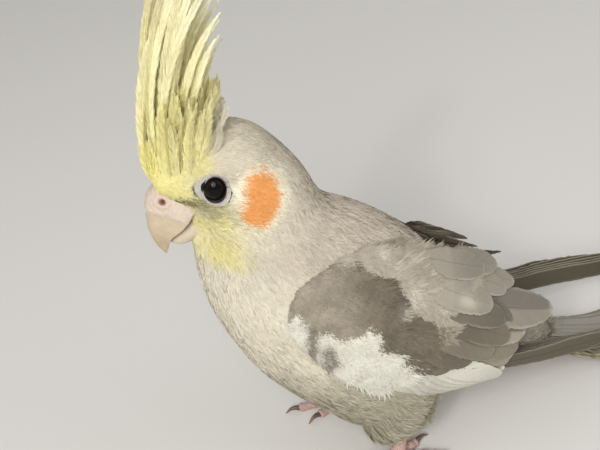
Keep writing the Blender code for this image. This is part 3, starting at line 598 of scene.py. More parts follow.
def fanBlades(points, across, width, hue, shade=blade["shade"]):
    # points (n, blades, places, 3); each place but the last gives two vertices at its width on
    # either side, and the last gives the blade's single tip
    n, b, m = points.shape[:3]
    edge = across[:, :, None] * width[..., None]
    low, high = points[:, :, :-1] - edge[:, :, :-1], points[:, :, :-1] + edge[:, :, :-1]
    body = np.stack([low, high], 3).reshape(n, b, -1, 3)
    verts = np.concatenate([body, points[:, :, -1:]], 2)
    per = 2 * (m - 1) + 1
    start = (np.arange(n * b) * per)[:, None]
    quads = np.concatenate([start + 2 * k + np.array([0, 1, 3, 2]) for k in range(m - 2)])
    threes = start + np.array([per - 3, per - 2, per - 1])
    # painted shade: each blade's colour darkened towards its root
    shade = np.concatenate([np.repeat(shade[:-1], 2), shade[-1:]])
    paint = hue[:, :, None] * shade[None, None, :, None]
    return verts.reshape(-1, 3), [quads, threes], paint.reshape(-1, 3)


def spread(n, weights, seed):
    # n places over a grid of cells, even by weight: row, column and parts of a cell
    draw = np.random.default_rng(seed)
    total = np.cumsum(weights.ravel())
    mark = (np.arange(n) + draw.uniform(0.25, 0.75, n)) / n * total[-1]
    cell = np.searchsorted(total, mark)
    return cell // weights.shape[1], cell % weights.shape[1], draw.uniform(0, 1, n), draw.uniform(0, 1, n)


bodyRows, bodyColumns = np.linspace(0.0, lastPlace, 260), np.linspace(0.0, 2 * math.pi, 181)
bodyGrid = bodyAt(*np.meshgrid(bodyRows, bodyColumns, indexing="ij"))
print("form ready")


def bodyLook(row, column, fr, fc):
    # bilinear point of the body's grid, with its outward normal and the way back along the body
    def blend(grid):
        a = grid[row, column] * (1 - fc)[:, None] + grid[row, column + 1] * fc[:, None]
        b = grid[row + 1, column] * (1 - fc)[:, None] + grid[row + 1, column + 1] * fc[:, None]
        return a * (1 - fr)[:, None] + b * fr[:, None], a - b
    point, back = blend(bodyGrid)
    normal = fieldNormal(point)
    back = unit(back - normal * (back * normal).sum(-1, keepdims=True))
    return point, normal, back


bodyLength = [(0.0, 7.5), (3.0, 9.0), (5.0, 8.5), (7.0, 7.5), (9.0, 5.2), (11.5, 4.6), (14.0, 3.2), (16.0, 1.9)]
coatParts = {
    "coat_vent": {"from": 0.0, "to": 3.6, "count": 4200, "blades": 8, "seed": 21, "slot": "plumage_body"},
    "coat_belly": {"from": 3.2, "to": 6.2, "count": 8200, "blades": 8, "seed": 22, "slot": "plumage_body"},
    "coat_breast": {"from": 5.8, "to": 9.2, "count": 8200, "blades": 8, "seed": 23, "slot": "plumage_body"},
    "coat_nape": {"from": 8.8, "to": 13.0, "count": 8600, "blades": 7, "seed": 24, "slot": "plumage_head"},
    "coat_face": {"from": 12.6, "to": 16.0, "count": 9000, "blades": 6, "seed": 25, "slot": "plumage_head"},
}


def layTufts(point, normal, back, length, blades, draw, half, lift, hue, flare=0.5):
    # blades fan about the way back, the outer ones shorter by 0.22 of the square of their place;
    # their three places stand -0.55, 0.75 and 1 times the lift over the form
    n = len(point)
    side = np.cross(normal, back)
    spreadOut = np.linspace(-1, 1, blades)[None]
    fanAngle = spreadOut * flare * draw.uniform(0.7, 1.2, (n, 1)) + draw.normal(0, 0.09, (n, blades))
    fanAngle = fanAngle + draw.normal(0, 0.12, (n, 1))
    way = back[:, None] * np.cos(fanAngle)[..., None] + side[:, None] * np.sin(fanAngle)[..., None]
    reach = length[:, None] * draw.uniform(0.72, 1.08, (n, blades)) * (1 - 0.22 * spreadOut ** 2)
    start = point[:, None] + side[:, None] * (spreadOut[..., None] * (length * 0.06)[:, None, None])
    line = start[:, :, None] + way[:, :, None] * (reach[..., None] * blade["step"])[..., None]
    high = (draw.uniform(0.7, 1.3, (n, blades)) * lift[:, None])[..., None] * np.array([-0.55, 0.75, 1.0])
    gap = field(line)
    line = line + normal[:, None, None] * (high - gap)[..., None]
    across = unit(np.cross(normal[:, None], way) + normal[:, None] * draw.normal(0, 0.28, (n, blades, 1)))
    width = half[:, None, None] * blade["width"] * draw.uniform(0.75, 1.25, (n, blades, 1))
    tone = hue[:, None] * draw.normal(1.0, 0.035, (n, 1, 1)) * draw.normal(1.0, 0.045, (n, blades, 1))
    return line, across, width, tone


def makeCoat(name, s):
    # tufts between two places of the form, spread by area over their length to the 1.3; none
    # grow on the bare eye rings, before the feathers' edge or under the wings
    draw = np.random.default_rng(s["seed"])
    corner = bodyGrid[:-1, :-1]
    area = np.linalg.norm(np.cross(bodyGrid[1:, :-1] - corner, bodyGrid[:-1, 1:] - corner), axis=-1)
    middle = (bodyRows[1:] + bodyRows[:-1]) / 2
    inside = ((middle > s["from"]) & (middle < s["to"]))[:, None]
    fine = np.interp(middle, *np.array(bodyLength).T)[:, None]
    centre = (bodyGrid[1:, :-1] + bodyGrid[:-1, 1:]) / 2
    weight = area * inside / fine ** 1.3 * np.where(wingCover(centre), 0.25, 1.0)
    row, column, fr, fc = spread(s["count"], weight, s["seed"] + 50)
    point, normal, back = bodyLook(row, column, fr, fc)
    place = np.interp(row + fr, np.arange(len(bodyRows)), bodyRows)
    length = np.interp(place, *np.array(bodyLength).T) * draw.uniform(0.85, 1.15, len(point))
    keep = (beforeEdge(point) < 0.1) & ~wingCover(point, 1.0)
    tip = point + back * (length * 0.9)[:, None]
    for side in sides:
        keep &= outsideRing(side, point) > draw.uniform(-0.5, 0.1, len(point))
        keep &= outsideRing(side, tip) > draw.uniform(-1.2, 0.1, len(point))
    point, normal, back, length, place = (a[keep] for a in (point, normal, back, length, place))
    angle = np.interp(column + fc, np.arange(len(bodyColumns)), bodyColumns)[keep]
    half = length * 0.028 + 0.075
    lift = 0.12 + length * 0.045
    hue = marking(point + back * (length * 0.5)[:, None])
    verts, faces, paint = fanBlades(*layTufts(point, normal, back, length, s["blades"], draw, half, lift, hue))
    root = np.stack([angle / (2 * math.pi), place / lastPlace], -1)
    piece = addPiece(name, verts, faces, paint, {"OFBake": bakeMap(root, verts, point)})
    return piece


def bakeMap(root, verts, point):
    # each tuft is a patch 0.003 across at its root's place on the unwrapped skin
    local = verts.reshape(len(point), -1, 3) - point[:, None]
    flat = np.stack([local[..., 0] + 0.37 * local[..., 1], local[..., 2] + 0.21 * local[..., 1]], -1)
    flat = flat / (np.abs(flat).max((1, 2), keepdims=True) + 1e-9) * 0.0015
    return (root[:, None] * 0.98 + 0.01 + flat).reshape(-1, 2)


# Wings lie on a curved sheet: s back from the bend, t up across it, lift over it

sheetTable = {
    "s": (-5.0, 0.0, 20.0, 45.0, 72.0, 95.0, 120.0, 160.0),
    "half": (20.0, 22.5, 28.6, 29.8, 26.5, 20.0, 17.0, 15.0),
    "round": (33.0, 33.0, 33.0, 31.0, 22.0, 19.0, 20.0, 22.0),
    "middle": (-3.0, -3.0, -3.0, -4.0, -6.0, -8.0, -8.0, -8.0),
}
splay = {"left": 0.0, "right": 13.0}
raiseBy = {"left": 0.0, "right": -5.0}
tuckBy = {"left": 0.0, "right": 2.6}
liftEnd = {"left": -1.0, "right": 3.0}


def sheetFlat(side, s, t):
    # y = half (1 - 0.65 ((t - middle) / round)^2); the curve along s drops 25 degrees, easing to 6
    half, bend, middle = (np.interp(s, sheetTable["s"], sheetTable[k]) for k in ("half", "round", "middle"))
    y = half * np.clip(1 - 0.65 * ((t - middle) / bend) ** 2, 0.12, 1.0)
    y = y + splay[side] * fade(s, 40.0, 125.0) - tuckBy[side] * (1 - fade(s, 40.0, 80.0))
    first, last = math.radians(25.0), math.radians(6.0)
    rate = (first - last) / 74.0
    drop = first - rate * np.clip(s - 76.0, 0.0, None)
    x = -20.0 + np.minimum(s, 76.0) * math.cos(first) + (math.sin(first) - np.sin(drop)) / rate
    z = 66.0 - np.minimum(s, 76.0) * math.sin(first) - (np.cos(drop) - math.cos(first)) / rate
    z = z + raiseBy[side] * fade(s, 2.0, 28.0) * (1 - fade(s, 62.0, 105.0))
    z = z + liftEnd[side] * fade(s, 75.0, 120.0)
    return np.stack([x + t * np.sin(drop), sides[side] * y, z + t * np.cos(drop)], -1)


def sheetAt(side, s, t, lift=0.0):
    # point of the sheet raised along its outward normal
    s, t, lift = np.broadcast_arrays(np.asarray(s, float), np.asarray(t, float), np.asarray(lift, float))
    along = sheetFlat(side, s + 0.5, t) - sheetFlat(side, s - 0.5, t)
    up = sheetFlat(side, s, t + 0.5) - sheetFlat(side, s, t - 0.5)
    out = unit(np.cross(along, up) * -sides[side])
    return sheetFlat(side, s, t) + out * lift[..., None]


wingEdge = {
    "low": ((-3, 0, 8.5, 15, 25, 46), (5.0, 0.0, -7.0, -10.5, -14.0, -16.0)),
    "high": ((-3, 0, 9, 17, 27, 40, 54), (9.0, 14.0, 20.0, 24.0, 26.0, 24.5, 20.0)),
}


def wingCover(p, spare=0.0):
    # body under the folded wing, where the wing's own tufts lie instead
    drop = math.radians(25.0)
    dx, dz = p[..., 0] + 20.0, p[..., 2] - 66.0
    s = dx * math.cos(drop) - dz * math.sin(drop)
    t = dx * math.sin(drop) + dz * math.cos(drop)
    low, high = (np.interp(s, *wingEdge[k]) for k in ("low", "high"))
    within = (t > low + 1.5 + spare) & (t < high - 2.5 - spare)
    return (s > -1.0 + spare + 0.015 * (t - 8) ** 2) & (s < 50) & within & (np.abs(p[..., 1]) > 8)


# Feathers: cupped vanes with a shaft, ragged at the rim

def vaneFeather(batch, line, across, out, half, hue, thick=0.22, cup=0.10, shaft=0.32, seed=0, rows=34,
                columns=11, notch=0.05, skew=1.0, shaftTone=0.75):
    # line(u) is the shaft, across and out unit vectors at u, half(u) the width; v runs -1..1 over
    # the vane: point = line + across v half - out cup v^2 half, over a sheet of the same form
    draw = np.random.default_rng(seed)
    u = np.linspace(0.0, 1.0, rows)
    v = np.linspace(-1.0, 1.0, columns)
    centre, a, n = line(u), across(u), out(u)
    run = np.concatenate([[0.0], np.cumsum(np.linalg.norm(np.diff(centre, axis=0), axis=1))])
    wide = half(u)[:, None] * np.where(v < 0, 1.0, skew)[None] * np.ones((rows, 1))
    rag = 1 - notch * (np.abs(v)[None] ** 3) * np.clip(draw.normal(0.5, 0.8, (rows, 1)), 0, 2.5)
    reach = wide * v[None] * rag
    bend = -cup * (v[None] ** 2) * wide * (0.4 + 0.6 * u[:, None])
    ripple = 0.05 * np.sin(run[:, None] * 1.3 + draw.uniform(0, 6)) * v[None] ** 2
    top = centre[:, None] + a[:, None] * reach[..., None] + n[:, None] * (bend + ripple)[..., None]
    slim = thick * (1 - 0.75 * v[None] ** 2)
    under = top - n[:, None] * (slim * np.ones((rows, 1)))[..., None]
    uv = np.stack([np.broadcast_to(run[:, None], reach.shape), reach], -1)
    paint = hue(u[:, None] * np.ones((1, columns)), v[None] * np.ones((rows, 1)))
    count = rows * columns
    faces = [gridFaces(rows, columns), gridFaces(rows, columns, count)[:, ::-1]]
    sideRim = np.arange(1, rows) * columns + columns - 1
    rim = np.concatenate([np.arange(columns), sideRim, count - 2 - np.arange(columns - 1),
                          np.arange(rows - 2, 0, -1) * columns])
    faces.append(np.stack([rim, rim + count, np.roll(rim, -1) + count, np.roll(rim, -1)], 1))
    points = np.concatenate([top.reshape(-1, 3), under.reshape(-1, 3)])
    flip = np.dot(np.cross(a[0], centre[1] - centre[0]), n[0]) > 0
    faces = faces if flip else [f[:, ::-1] for f in faces]
    batch.add(points, faces, np.concatenate([paint, paint * 0.85]), np.concatenate([uv, uv]))
    if shaft:
        ring = np.linspace(0, 2 * math.pi, 6, endpoint=False)[None, :, None]
        thin = shaft * (1 - 0.8 * u) * 0.5
        round6 = a[:, None] * np.cos(ring) + n[:, None] * (0.2 + 0.8 * np.sin(ring))
        tone = hue(u[:, None] * np.ones((1, 6)), np.zeros((rows, 6))) * shaftTone
        last = (rows - 1) * 6
        ends = [capFaces(np.arange(6)[::-1], 0)[1:-1], capFaces(np.arange(last, last + 6), last)[1:-1]]
        uv = np.stack([np.broadcast_to(run[:, None], (rows, 6)), np.zeros((rows, 6))], -1)
        tube = centre[:, None] + round6 * thin[:, None, None]
        batch.add(tube, [gridFaces(rows, 6, wrap=True), *ends], tone, uv)


def roundVane(base=0.55, wide=0.45, tip=0.7, sharp=2.4):
    # half width as a part of the whole: rising from base, full past wide, and after tip rounding
    # off as (1 - ((u - tip) / (1 - tip))^sharp)^(1/2)
    def shape(u):
        rise = base + (1 - base) * fade(u, 0.0, wide)
        return rise * np.sqrt(np.clip(1 - np.clip((u - tip) / (1 - tip), 0, 1) ** sharp, 0.0008, 1.0))
    return shape


def wingLine(side, root, tip, bow, lifts):
    # a bowed line in the sheet from root to tip; lifts at u 0, 0.16, 0.4, 1
    root, tip = np.array(root, float), np.array(tip, float)
    way = unit(tip - root)
    square = np.array([-way[1], way[0]])

    def line(u, off=0.0):
        flat = root + (tip - root) * u[:, None] + square * (bow * 4 * u * (1 - u) + off)[:, None]
        return sheetAt(side, flat[:, 0], flat[:, 1], np.interp(u, [0, 0.16, 0.4, 1], lifts))

    def across(u):
        return unit(line(u, 0.5) - line(u, -0.5))

    def out(u):
        ahead = unit(line(np.clip(u + 0.01, 0, 1.01)) - line(u - 0.01))
        return unit(np.cross(ahead, across(u)) * -sides[side])

    return line, across, out


def wingFeather(batch, side, root, tip, half, bow, lifts, slope, hue, shape, **more):
    # a vane along a bowed line of the sheet, tilted by the slope
    line, across, out = wingLine(side, root, tip, bow, lifts)

    def leaning(u):
        # the lower edge stands higher, over the next feather below
        return unit(across(u) - out(u) * slope)

    def facing(u):
        return unit(out(u) + across(u) * slope)

    vaneFeather(batch, line, leaning, facing, lambda u: half * shape(u), hue, **more)


wingTones = {
    "lesser": (0.325, 0.285, 0.222), "grey": (0.30, 0.268, 0.22), "dark": (0.165, 0.143, 0.113),
    "white": (0.67, 0.655, 0.575), "pale": (0.52, 0.485, 0.41), "brown": (0.215, 0.188, 0.142),
    "tertial": (0.205, 0.183, 0.155), "primary": (0.105, 0.09, 0.064), "deep": (0.165, 0.14, 0.105),
    "pearl": (0.76, 0.73, 0.63), "creaseShade": (0.10, 0.085, 0.065), "silver": (0.35, 0.315, 0.255),
}


def plainHue(base, edge=None, width=0.12, tipTone=None, seed=0, spot=None):
    # base with a pale rim where |v| or u nears 1, and an optional pale spot at (u, v, size, tone)
    base = np.array(base)

    def hue(u, v):
        colour = np.broadcast_to(base, (*u.shape, 3)) * (1 + 0.10 * np.sin(u * 5 + seed))[..., None]
        if tipTone is not None:
            colour = mix(colour, tipTone, fade(u, 0.7, 0.98))
        if spot is not None:
            su, sv, size, tone = spot
            near = np.exp(-(((u - su) / size) ** 2 + ((v - sv) / (size * 2.6)) ** 2))
            colour = mix(colour, tone, np.clip(near, 0, 1))
        if edge is not None:
            rim = np.maximum(fade(np.abs(v), 1 - width * 2.2, 1.0) * fade(u, 0.3, 0.6),
                             fade(u, 1 - width * 0.5, 1.0))
            colour = mix(colour, edge, rim * 0.85)
        return colour
    return hue


def twoTone(upper, lower, edge=None):
    # upper vane one colour and lower vane another, with an optional pale rim
    def hue(u, v):
        colour = mix(upper, lower, fade(-v, -0.05, 0.12))
        if edge is not None:
            rim = np.maximum(fade(np.abs(v), 0.86, 1.0) * fade(u, 0.4, 0.7), fade(u, 0.95, 1.0))
            colour = mix(colour, edge, rim * 0.8)
        return colour
    return hue


w = wingTones
# root s,t  tip s,t  half  bow  lift  colour
secondaryRows = [
    ((36, -13.0), (70.0, -15.5), 4.4, -1.6, -2.3, plainHue(w["white"], seed=1)),
    ((38, -9.5), (70.0, -11.9), 4.8, -1.4, -2.15, plainHue(w["white"], seed=2)),
    ((40, -5.0), (69.6, -7.0), 5.0, -1.0, -2.0, plainHue(w["grey"], w["pale"], 0.08, seed=3)),
    ((42, -1.0), (70.4, -4.4), 5.0, -0.9, -1.85, twoTone(w["brown"], w["grey"], w["pale"])),
    ((43, 3.5), (71.4, -2.2), 5.2, -0.8, -1.65, plainHue(w["brown"], w["silver"], 0.07, seed=4)),
    ((44, 7.0), (74.0, 2.6), 5.0, -0.5, -1.5, twoTone(w["brown"], w["silver"], w["pale"])),
    ((46, 13.0), (86.0, 6.4), 6.8, -0.5, -1.15, twoTone(w["tertial"], w["grey"], w["pale"])),
    ((45, 15.0), (68.2, 5.9), 4.6, 0.0, -0.8, plainHue(w["dark"], w["silver"], 0.06, seed=8)),
    ((44, 19.5), (71.0, 14.0), 4.6, 0.2, -0.75, plainHue(w["grey"], w["pale"], 0.08, seed=9)),
    ((42, 21.5), (66.7, 12.9), 5.0, 0.2, -0.5, plainHue(w["grey"], w["pale"], 0.08, seed=10)),
]
primaryRows = [((27 + 3.0 * k, -11.0 + 0.6 * k), tip, 3.3, -3.2, -3.4 - 0.85 * (5 - k)) for k, tip in
               enumerate(((148, -6.4), (152, -5.2), (147, -4.6), (138, -4.2), (126, -4.4), (111, -5.0)))]
scapularRows = [
    ((27, 2.0), (48.4, -7.6), 5.0, plainHue(w["deep"], seed=4), -0.2),
    ((31, 4.0), (54.6, -5.2), 5.0, plainHue(w["deep"], w["brown"], 0.1, seed=1), 0.0),
    ((37, 7.0), (61.5, -2.4), 5.2, plainHue(w["brown"], w["grey"], 0.08, seed=2), 0.15),
    ((41, 9.5), (66.5, 1.6), 5.0, plainHue(w["deep"], w["grey"], 0.07, seed=3), 0.3),
    ((40, 13.5), (64.5, 6.4), 4.8, plainHue(w["dark"], w["silver"], 0.06, seed=6), 0.45),
    ((44, 22.5), (64.0, 18.2), 4.6, plainHue(w["grey"], w["pale"], 0.08, seed=8), 0.3),
    ((36, 17.5), (59.8, 10.3), 5.4, plainHue(w["silver"], w["pale"], 0.08, seed=7,
                                             spot=(0.6, -0.3, 0.15, (0.56, 0.525, 0.44))), 0.6),
    ((38, 22.5), (58.0, 18.4), 5.0, plainHue(w["grey"], w["pale"], 0.08, seed=13), 0.6),
]
whiteRows = [
    ((9 + 3.0 * k, float(np.interp(k, (0, 5, 12), (0.0, -2.0, -5.5)))),
     (float(np.interp(k, (0, 2, 5, 8, 12), (21.0, 29.0, 43.0, 56.0, 69.0))),
      float(np.interp(k, (0, 2, 5, 8, 12), (-14.5, -19.5, -24.0, -22.5, -13.5)))),
     4.4, -1.0) for k in range(13)
]
wingShape = roundVane(0.62, 0.3, 0.5, 2.3)
wingSlope = {"secondary": 0.06, "scapular": 0.05, "covert": 0.08}
vaneLook = {"cup": 0.035, "notch": 0.045}
# painted light: the far wing's colours are multiplied by this
farWingPaintedLight = 1.3


def makeWingFeathers(side):
    # primaries, secondaries, white coverts and scapulars, each a vane of its row
    batch = Batch()
    for k, (root, tip, half, bow, lift) in enumerate(primaryRows):
        hue = plainHue(w["primary"], (0.30, 0.27, 0.21), 0.07, seed=k)
        wingFeather(batch, side, root, tip, half, bow, (-3.6, lift + 0.4, lift, lift), 0.03, hue,
                    roundVane(0.6, 0.2, 0.82, 1.6), seed=70 + k, rows=60, columns=9)
    for k, (root, tip, half, bow, lift, hue) in enumerate(secondaryRows):
        wingFeather(batch, side, root, tip, half, bow, (-4.0, lift - 0.4, lift, lift + 0.1),
                    wingSlope["secondary"], hue, wingShape, seed=90 + k, rows=54, columns=13, **vaneLook)
    for k, (root, tip, half, bow) in enumerate(whiteRows):
        hue = plainHue(np.array(w["white"]) * (1.0 if k % 2 else 0.95), seed=k)
        wingFeather(batch, side, root, tip, half, bow, (-2.6, -1.3, -1.0, -0.8), wingSlope["covert"], hue,
                    wingShape, seed=110 + k, rows=44, columns=11, shaft=0.0, **vaneLook)
    for k, (root, tip, half, hue, lift) in enumerate(scapularRows):
        wingFeather(batch, side, root, tip, half, 0.0, (-1.9, lift - 0.6, lift - 0.1, lift - 0.2),
                    wingSlope["scapular"], hue, wingShape, seed=140 + k, rows=50, columns=13, shaft=0.2,
                    **vaneLook)
    if side == "right":        # painted light: the far wing's colours made brighter
        batch.paint = [paint * farWingPaintedLight for paint in batch.paint]
    piece = batch.piece("wing_feathers_" + side)
    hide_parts("wing_" + side)
    return piece


wingPadSettings = {
    "rows": 40, "from": -3.0, "to": 58.0, "depth": 3.3, "dark": 0.6,
    # lower and upper edge, and thickness, by s
    "s": (-3, 3, 9, 17, 27, 38, 49, 58),
    "low": (3.0, -3.5, -8.5, -14.0, -18.0, -19.5, -17.5, -10.0),
    "high": (8.0, 15.0, 19.5, 24.0, 26.0, 25.5, 22.5, 15.0),
    "thick": ((-3, 3, 17, 40, 58), (0.4, 3.0, 5.0, 4.0, 0.4)),
}


def makeWingPad(side):
    # a soft cushion under the wing's feathers, oval in section: t = middle + half height cos a,
    # lift = half thickness sin a - depth
    c = wingPadSettings
    s = np.linspace(c["from"], c["to"], c["rows"])
    low, high = np.interp(s, c["s"], c["low"]), np.interp(s, c["s"], c["high"])
    a = np.linspace(0, 2 * math.pi, c["rows"], endpoint=False)
    t = (low + high)[:, None] / 2 + (high - low)[:, None] / 2 * np.cos(a)
    thick = np.interp(s, *c["thick"])[:, None] * np.sin(a)
    points = withEnds(sheetAt(side, s[:, None], t, thick * 0.5 - c["depth"]))
    faces = closedFaces(c["rows"], c["rows"])
    faces = faces if side == "right" else [f[:, ::-1] for f in faces]
    # the pad's colour is the lesser coverts' tone darkened, painted shade under the feathers
    piece = addPiece("wing_pad_" + side, points, faces,
                     np.tile(np.array(w["lesser"]) * c["dark"], (len(points), 1)))
    return piece


wingCoatSettings = {
    "count": 9200, "blades": 7, "seed": 31,
    # upper edge of the white bar, t by s; pale spots (s, t, half length, half height); creases, sunk into
    # the tufts and painted with shade (from, to, half width, depth); notches in the bar (from, to, half width)
    "bar": ((-3, 1.7, 4.9, 5.6, 7.7, 14.4, 16.7, 18.3, 21.4,
             23.5, 25.9, 30.6, 35.0, 38.6, 42.0, 49.6, 51.4, 56),
            (4.5, 5.7, 2.6, -1.0, 1.4, 0.6, 1.1, 2.7, 6.3,
             3.9, -2.1, -3.3, -5.1, -9.4, -6.4, -6.7, -4.7, -6)),
    "spots": ((33.9, 20.3, 2.4, 1.1), (28.1, 18.5, 2.4, 1.1), (34.2, 13.3, 2.8, 1.2), (42.4, 11.8, 3.0, 1.2),
              (49.5, 13.4, 3.0, 1.5), (30.5, 8.3, 1.6, 1.3), (24.3, 22.3, 2.2, 0.9), (39.0, 17.0, 2.2, 0.8)),
    "creases": (((12.0, 24.3), (31.6, 25.1), 0.7, 0.55), ((15.5, 19.0), (22.0, 18.0), 0.7, 0.9),
                ((22.0, 18.0), (30.0, 10.9), 0.75, 0.8), ((30.0, 10.9), (35.5, 6.5), 0.7, 0.75),
                ((31.0, 1.5), (40.0, -4.0), 0.6, 0.6), ((34.0, 10.5), (41.0, 7.8), 0.6, 0.5)),
    "notches": (((4.9, 2.0), (7.4, -7.0), 1.5), ((10.5, -4.6), (13.0, -8.6), 1.9)),
    "shoulder": ((0.45, 0.40, 0.325), (0.37, 0.325, 0.26)),
}


def segmentOff(s, t, a, b):
    # distance of (s, t) from the segment a-b
    a, b = np.array(a, float), np.array(b, float)
    way = b - a
    k = np.clip(((s - a[0]) * way[0] + (t - a[1]) * way[1]) / (way @ way), 0, 1)
    return np.hypot(s - a[0] - way[0] * k, t - a[1] - way[1] * k)


def wingMarking(s, t, p):
    # brown lesser coverts, the white bar with its notches below, soft blotched grey over the shoulder
    c = wingCoatSettings
    colour = mix(w["lesser"], w["deep"], fade(s + 0.4 * t + 2.0 * waves(p, 7.0, 8), 12.0, 30.0))
    colour = colour * (1 + 0.13 * waves(p, 5.5, 12))[..., None]
    upper = np.interp(s, (-5, 5, 15.5, 22, 30, 35.5, 44, 60), (15.0, 17.5, 19.0, 18.0, 10.9, 6.5, 3.0, 0.0))
    shoulder = mix(*c["shoulder"], fade(s + 2.5 * waves(p, 8.0, 19), 16.0, 34.0))
    colour = mix(colour, shoulder * (1 + 0.10 * waves(p, 6.0, 15))[..., None], fade(t - upper, -0.8, 1.6))
    for cs, ct, along, high in c["spots"]:
        ds, dt = (s - cs) * 0.94 - (t - ct) * 0.34, (t - ct) * 0.94 + (s - cs) * 0.34
        colour = mix(colour, w["pearl"], 0.45 * np.exp(-((ds / along) ** 2 + (dt / high) ** 2)))
    # painted shade along the creases between groups of feathers
    for a, b, wide, amount in c["creases"]:
        colour = mix(colour, w["creaseShade"], amount * np.exp(-(segmentOff(s, t, a, b) / wide) ** 2))
    edge = np.interp(s, *c["bar"]) + 0.7 * waves(p, 3.0, 8)
    bar = fade(edge - t, -0.3, 0.5)
    colour = mix(colour, np.array(w["white"]) * (1 + 0.06 * waves(p, 6.0, 21))[..., None], bar)
    notch = np.maximum(*(np.exp(-(segmentOff(s, t, a, b) / wide) ** 2) for a, b, wide in c["notches"]))
    colour = mix(colour, w["deep"], notch * 0.9)
    front = 1 - fade(s - 0.015 * (t - 8) ** 2 + 1.2 * waves(p, 8.0, 9), -4.0, 0.0)
    return mix(colour, mix(tones["breast"], tones["neck"], fade(t, 2, 14)), front)


def makeWingCoat(side):
    # tufts of small coverts over the front and shoulder of the wing, rooted on the sheet
    c = wingCoatSettings
    draw = np.random.default_rng(c["seed"] + (side == "right"))
    sGrid, tGrid = np.linspace(-3.0, 54.0, 115), np.linspace(-22.0, 28.0, 101)
    sm, tm = np.meshgrid((sGrid[1:] + sGrid[:-1]) / 2, (tGrid[1:] + tGrid[:-1]) / 2, indexing="ij")
    lowEdge = np.interp(sm, *wingEdge["low"])
    highEdge = np.interp(sm, *wingEdge["high"])
    rear = np.interp(tm, (-20, -10, -4, 2, 8, 14, 20, 27), (20.0, 33.0, 34.0, 38.0, 43.0, 47.0, 49.0, 50.0))
    rear = rear + 2.0 * waves(np.stack([sm, tm, sm * 0], -1), 7.0, 3)
    inside = (tm > lowEdge) & (tm < highEdge) & (sm < rear)
    row, column, fr, fc = spread(c["count"], inside * np.interp(sm, (-3, 20, 54), (1.25, 1.0, 0.75)),
                                 c["seed"] + 60)
    s = sGrid[row] + fr * (sGrid[1] - sGrid[0])
    t = tGrid[column] + fc * (tGrid[1] - tGrid[0])
    n, b = len(s), c["blades"]
    length = np.interp(s, (-3, 10, 30, 46), (4.0, 5.5, 7.5, 9.5)) * draw.uniform(0.85, 1.15, n)
    length = length * (1 - 0.4 * fade(t, 18.0, 26.0))
    lean = np.radians(np.interp(t, (-15, 0, 12, 25), (-34.0, -28.0, -18.0, -8.0)))
    angle = lean[:, None] + np.linspace(-1, 1, b)[None] * 0.36
    angle = angle + draw.normal(0, 0.08, (n, b)) + draw.normal(0, 0.10, (n, 1))
    reach = length[:, None] * draw.uniform(0.72, 1.08, (n, b))
    sLine = s[:, None, None] + np.cos(angle)[..., None] * reach[..., None] * blade["step"]
    tLine = t[:, None, None] + np.sin(angle)[..., None] * reach[..., None] * blade["step"]
    base = np.interp(s, (-3, 4, 20, 40, 54), (-1.6, -0.5, 0.0, 0.0, 0.1)) - 3.2 * fade(t, 15.0, 28.0)
    base = base + 0.12 * waves(np.stack([s, t, 0 * s], -1), 9.0, 5)
    fold = sum(0.7 * np.exp(-(segmentOff(s, t, a, e) / 1.3) ** 2) * amount for a, e, _, amount in c["creases"])
    rise = draw.uniform(0.5, 1.2, (n, b))[..., None] * np.array([-0.5, 0.25, 0.15])
    high = (base - fold)[:, None, None] + rise
    line = sheetAt(side, sLine, tLine, high)
    out = unit(sheetAt(side, s, t, 1.0) - sheetAt(side, s, t, 0.0))
    # where the body's plumage would cover the wing, the tufts are raised onto it
    need = np.clip(rise + 1.15 - 0.6 * fold[:, None, None] - field(line), 0, 6.0) * fade(sLine, -4.0, -1.0)
    line = line + out[:, None, None] * need[..., None]
    ahead = unit(line[:, :, 1] - line[:, :, 0])
    across = unit(np.cross(out[:, None], ahead) + out[:, None] * draw.normal(0, 0.22, (n, b, 1)))
    half = 0.085 + length * 0.027
    width = half[:, None, None] * blade["width"] * draw.uniform(0.75, 1.25, (n, b, 1))
    sMid, tMid = s + 0.55 * length * np.cos(lean), t + 0.55 * length * np.sin(lean)
    hue = wingMarking(sMid, tMid, sheetAt(side, sMid, tMid))
    hue = hue[:, None] * draw.normal(1, 0.035, (n, 1, 1)) * draw.normal(1, 0.045, (n, b, 1))
    verts, faces, paint = fanBlades(line, across, width, hue)
    root = np.stack([(s + 5) / 62, (t + 25) / 60], -1)
    piece = addPiece("wing_coat_" + side, verts, faces, paint, {"OFBake": bakeMap(root, verts, line[:, 0, 0])})
    return piece


# Tail: graduated feathers, laid down to the floor

tailSettings = {
    "from": 44.0, "floor": 92.0, "top": 17.0, "start": 47.0,
    "tip": (202.0, 184.0, 169.0, 156.0, 145.0, 136.0), "off": (1.7, 5.4, 6.2, 7.4, 8.7, 9.8),
    "half": (5.2, 4.9, 5.2, 5.3, 5.2, 5.0), "layer": 0.85, "settle": 15.0,
    "middle": (0.36, 0.335, 0.29), "rim": (0.50, 0.47, 0.40), "outer": (0.25, 0.23, 0.19),
    "pale": (0.55, 0.50, 0.28), "line": (0.22, 0.20, 0.16),
}


def tailFloor(x):
    # height of the tail's underside, falling from top to the floor
    return tailSettings["top"] * (1 - fade(x, tailSettings["from"], tailSettings["floor"]))


def marbled(u, v, seed, amount=1.0):
    # wavy dark lines over pale yellow-grey
    draw = np.random.default_rng(seed)
    wave = np.sin(u * 150 + 5 * np.sin(u * 31 + v * 3 + draw.uniform(0, 6)) + 4 * np.sin(v * 5 + u * 17))
    return mix(tailSettings["pale"], tailSettings["line"], fade(wave, -0.5, 0.5) * amount)


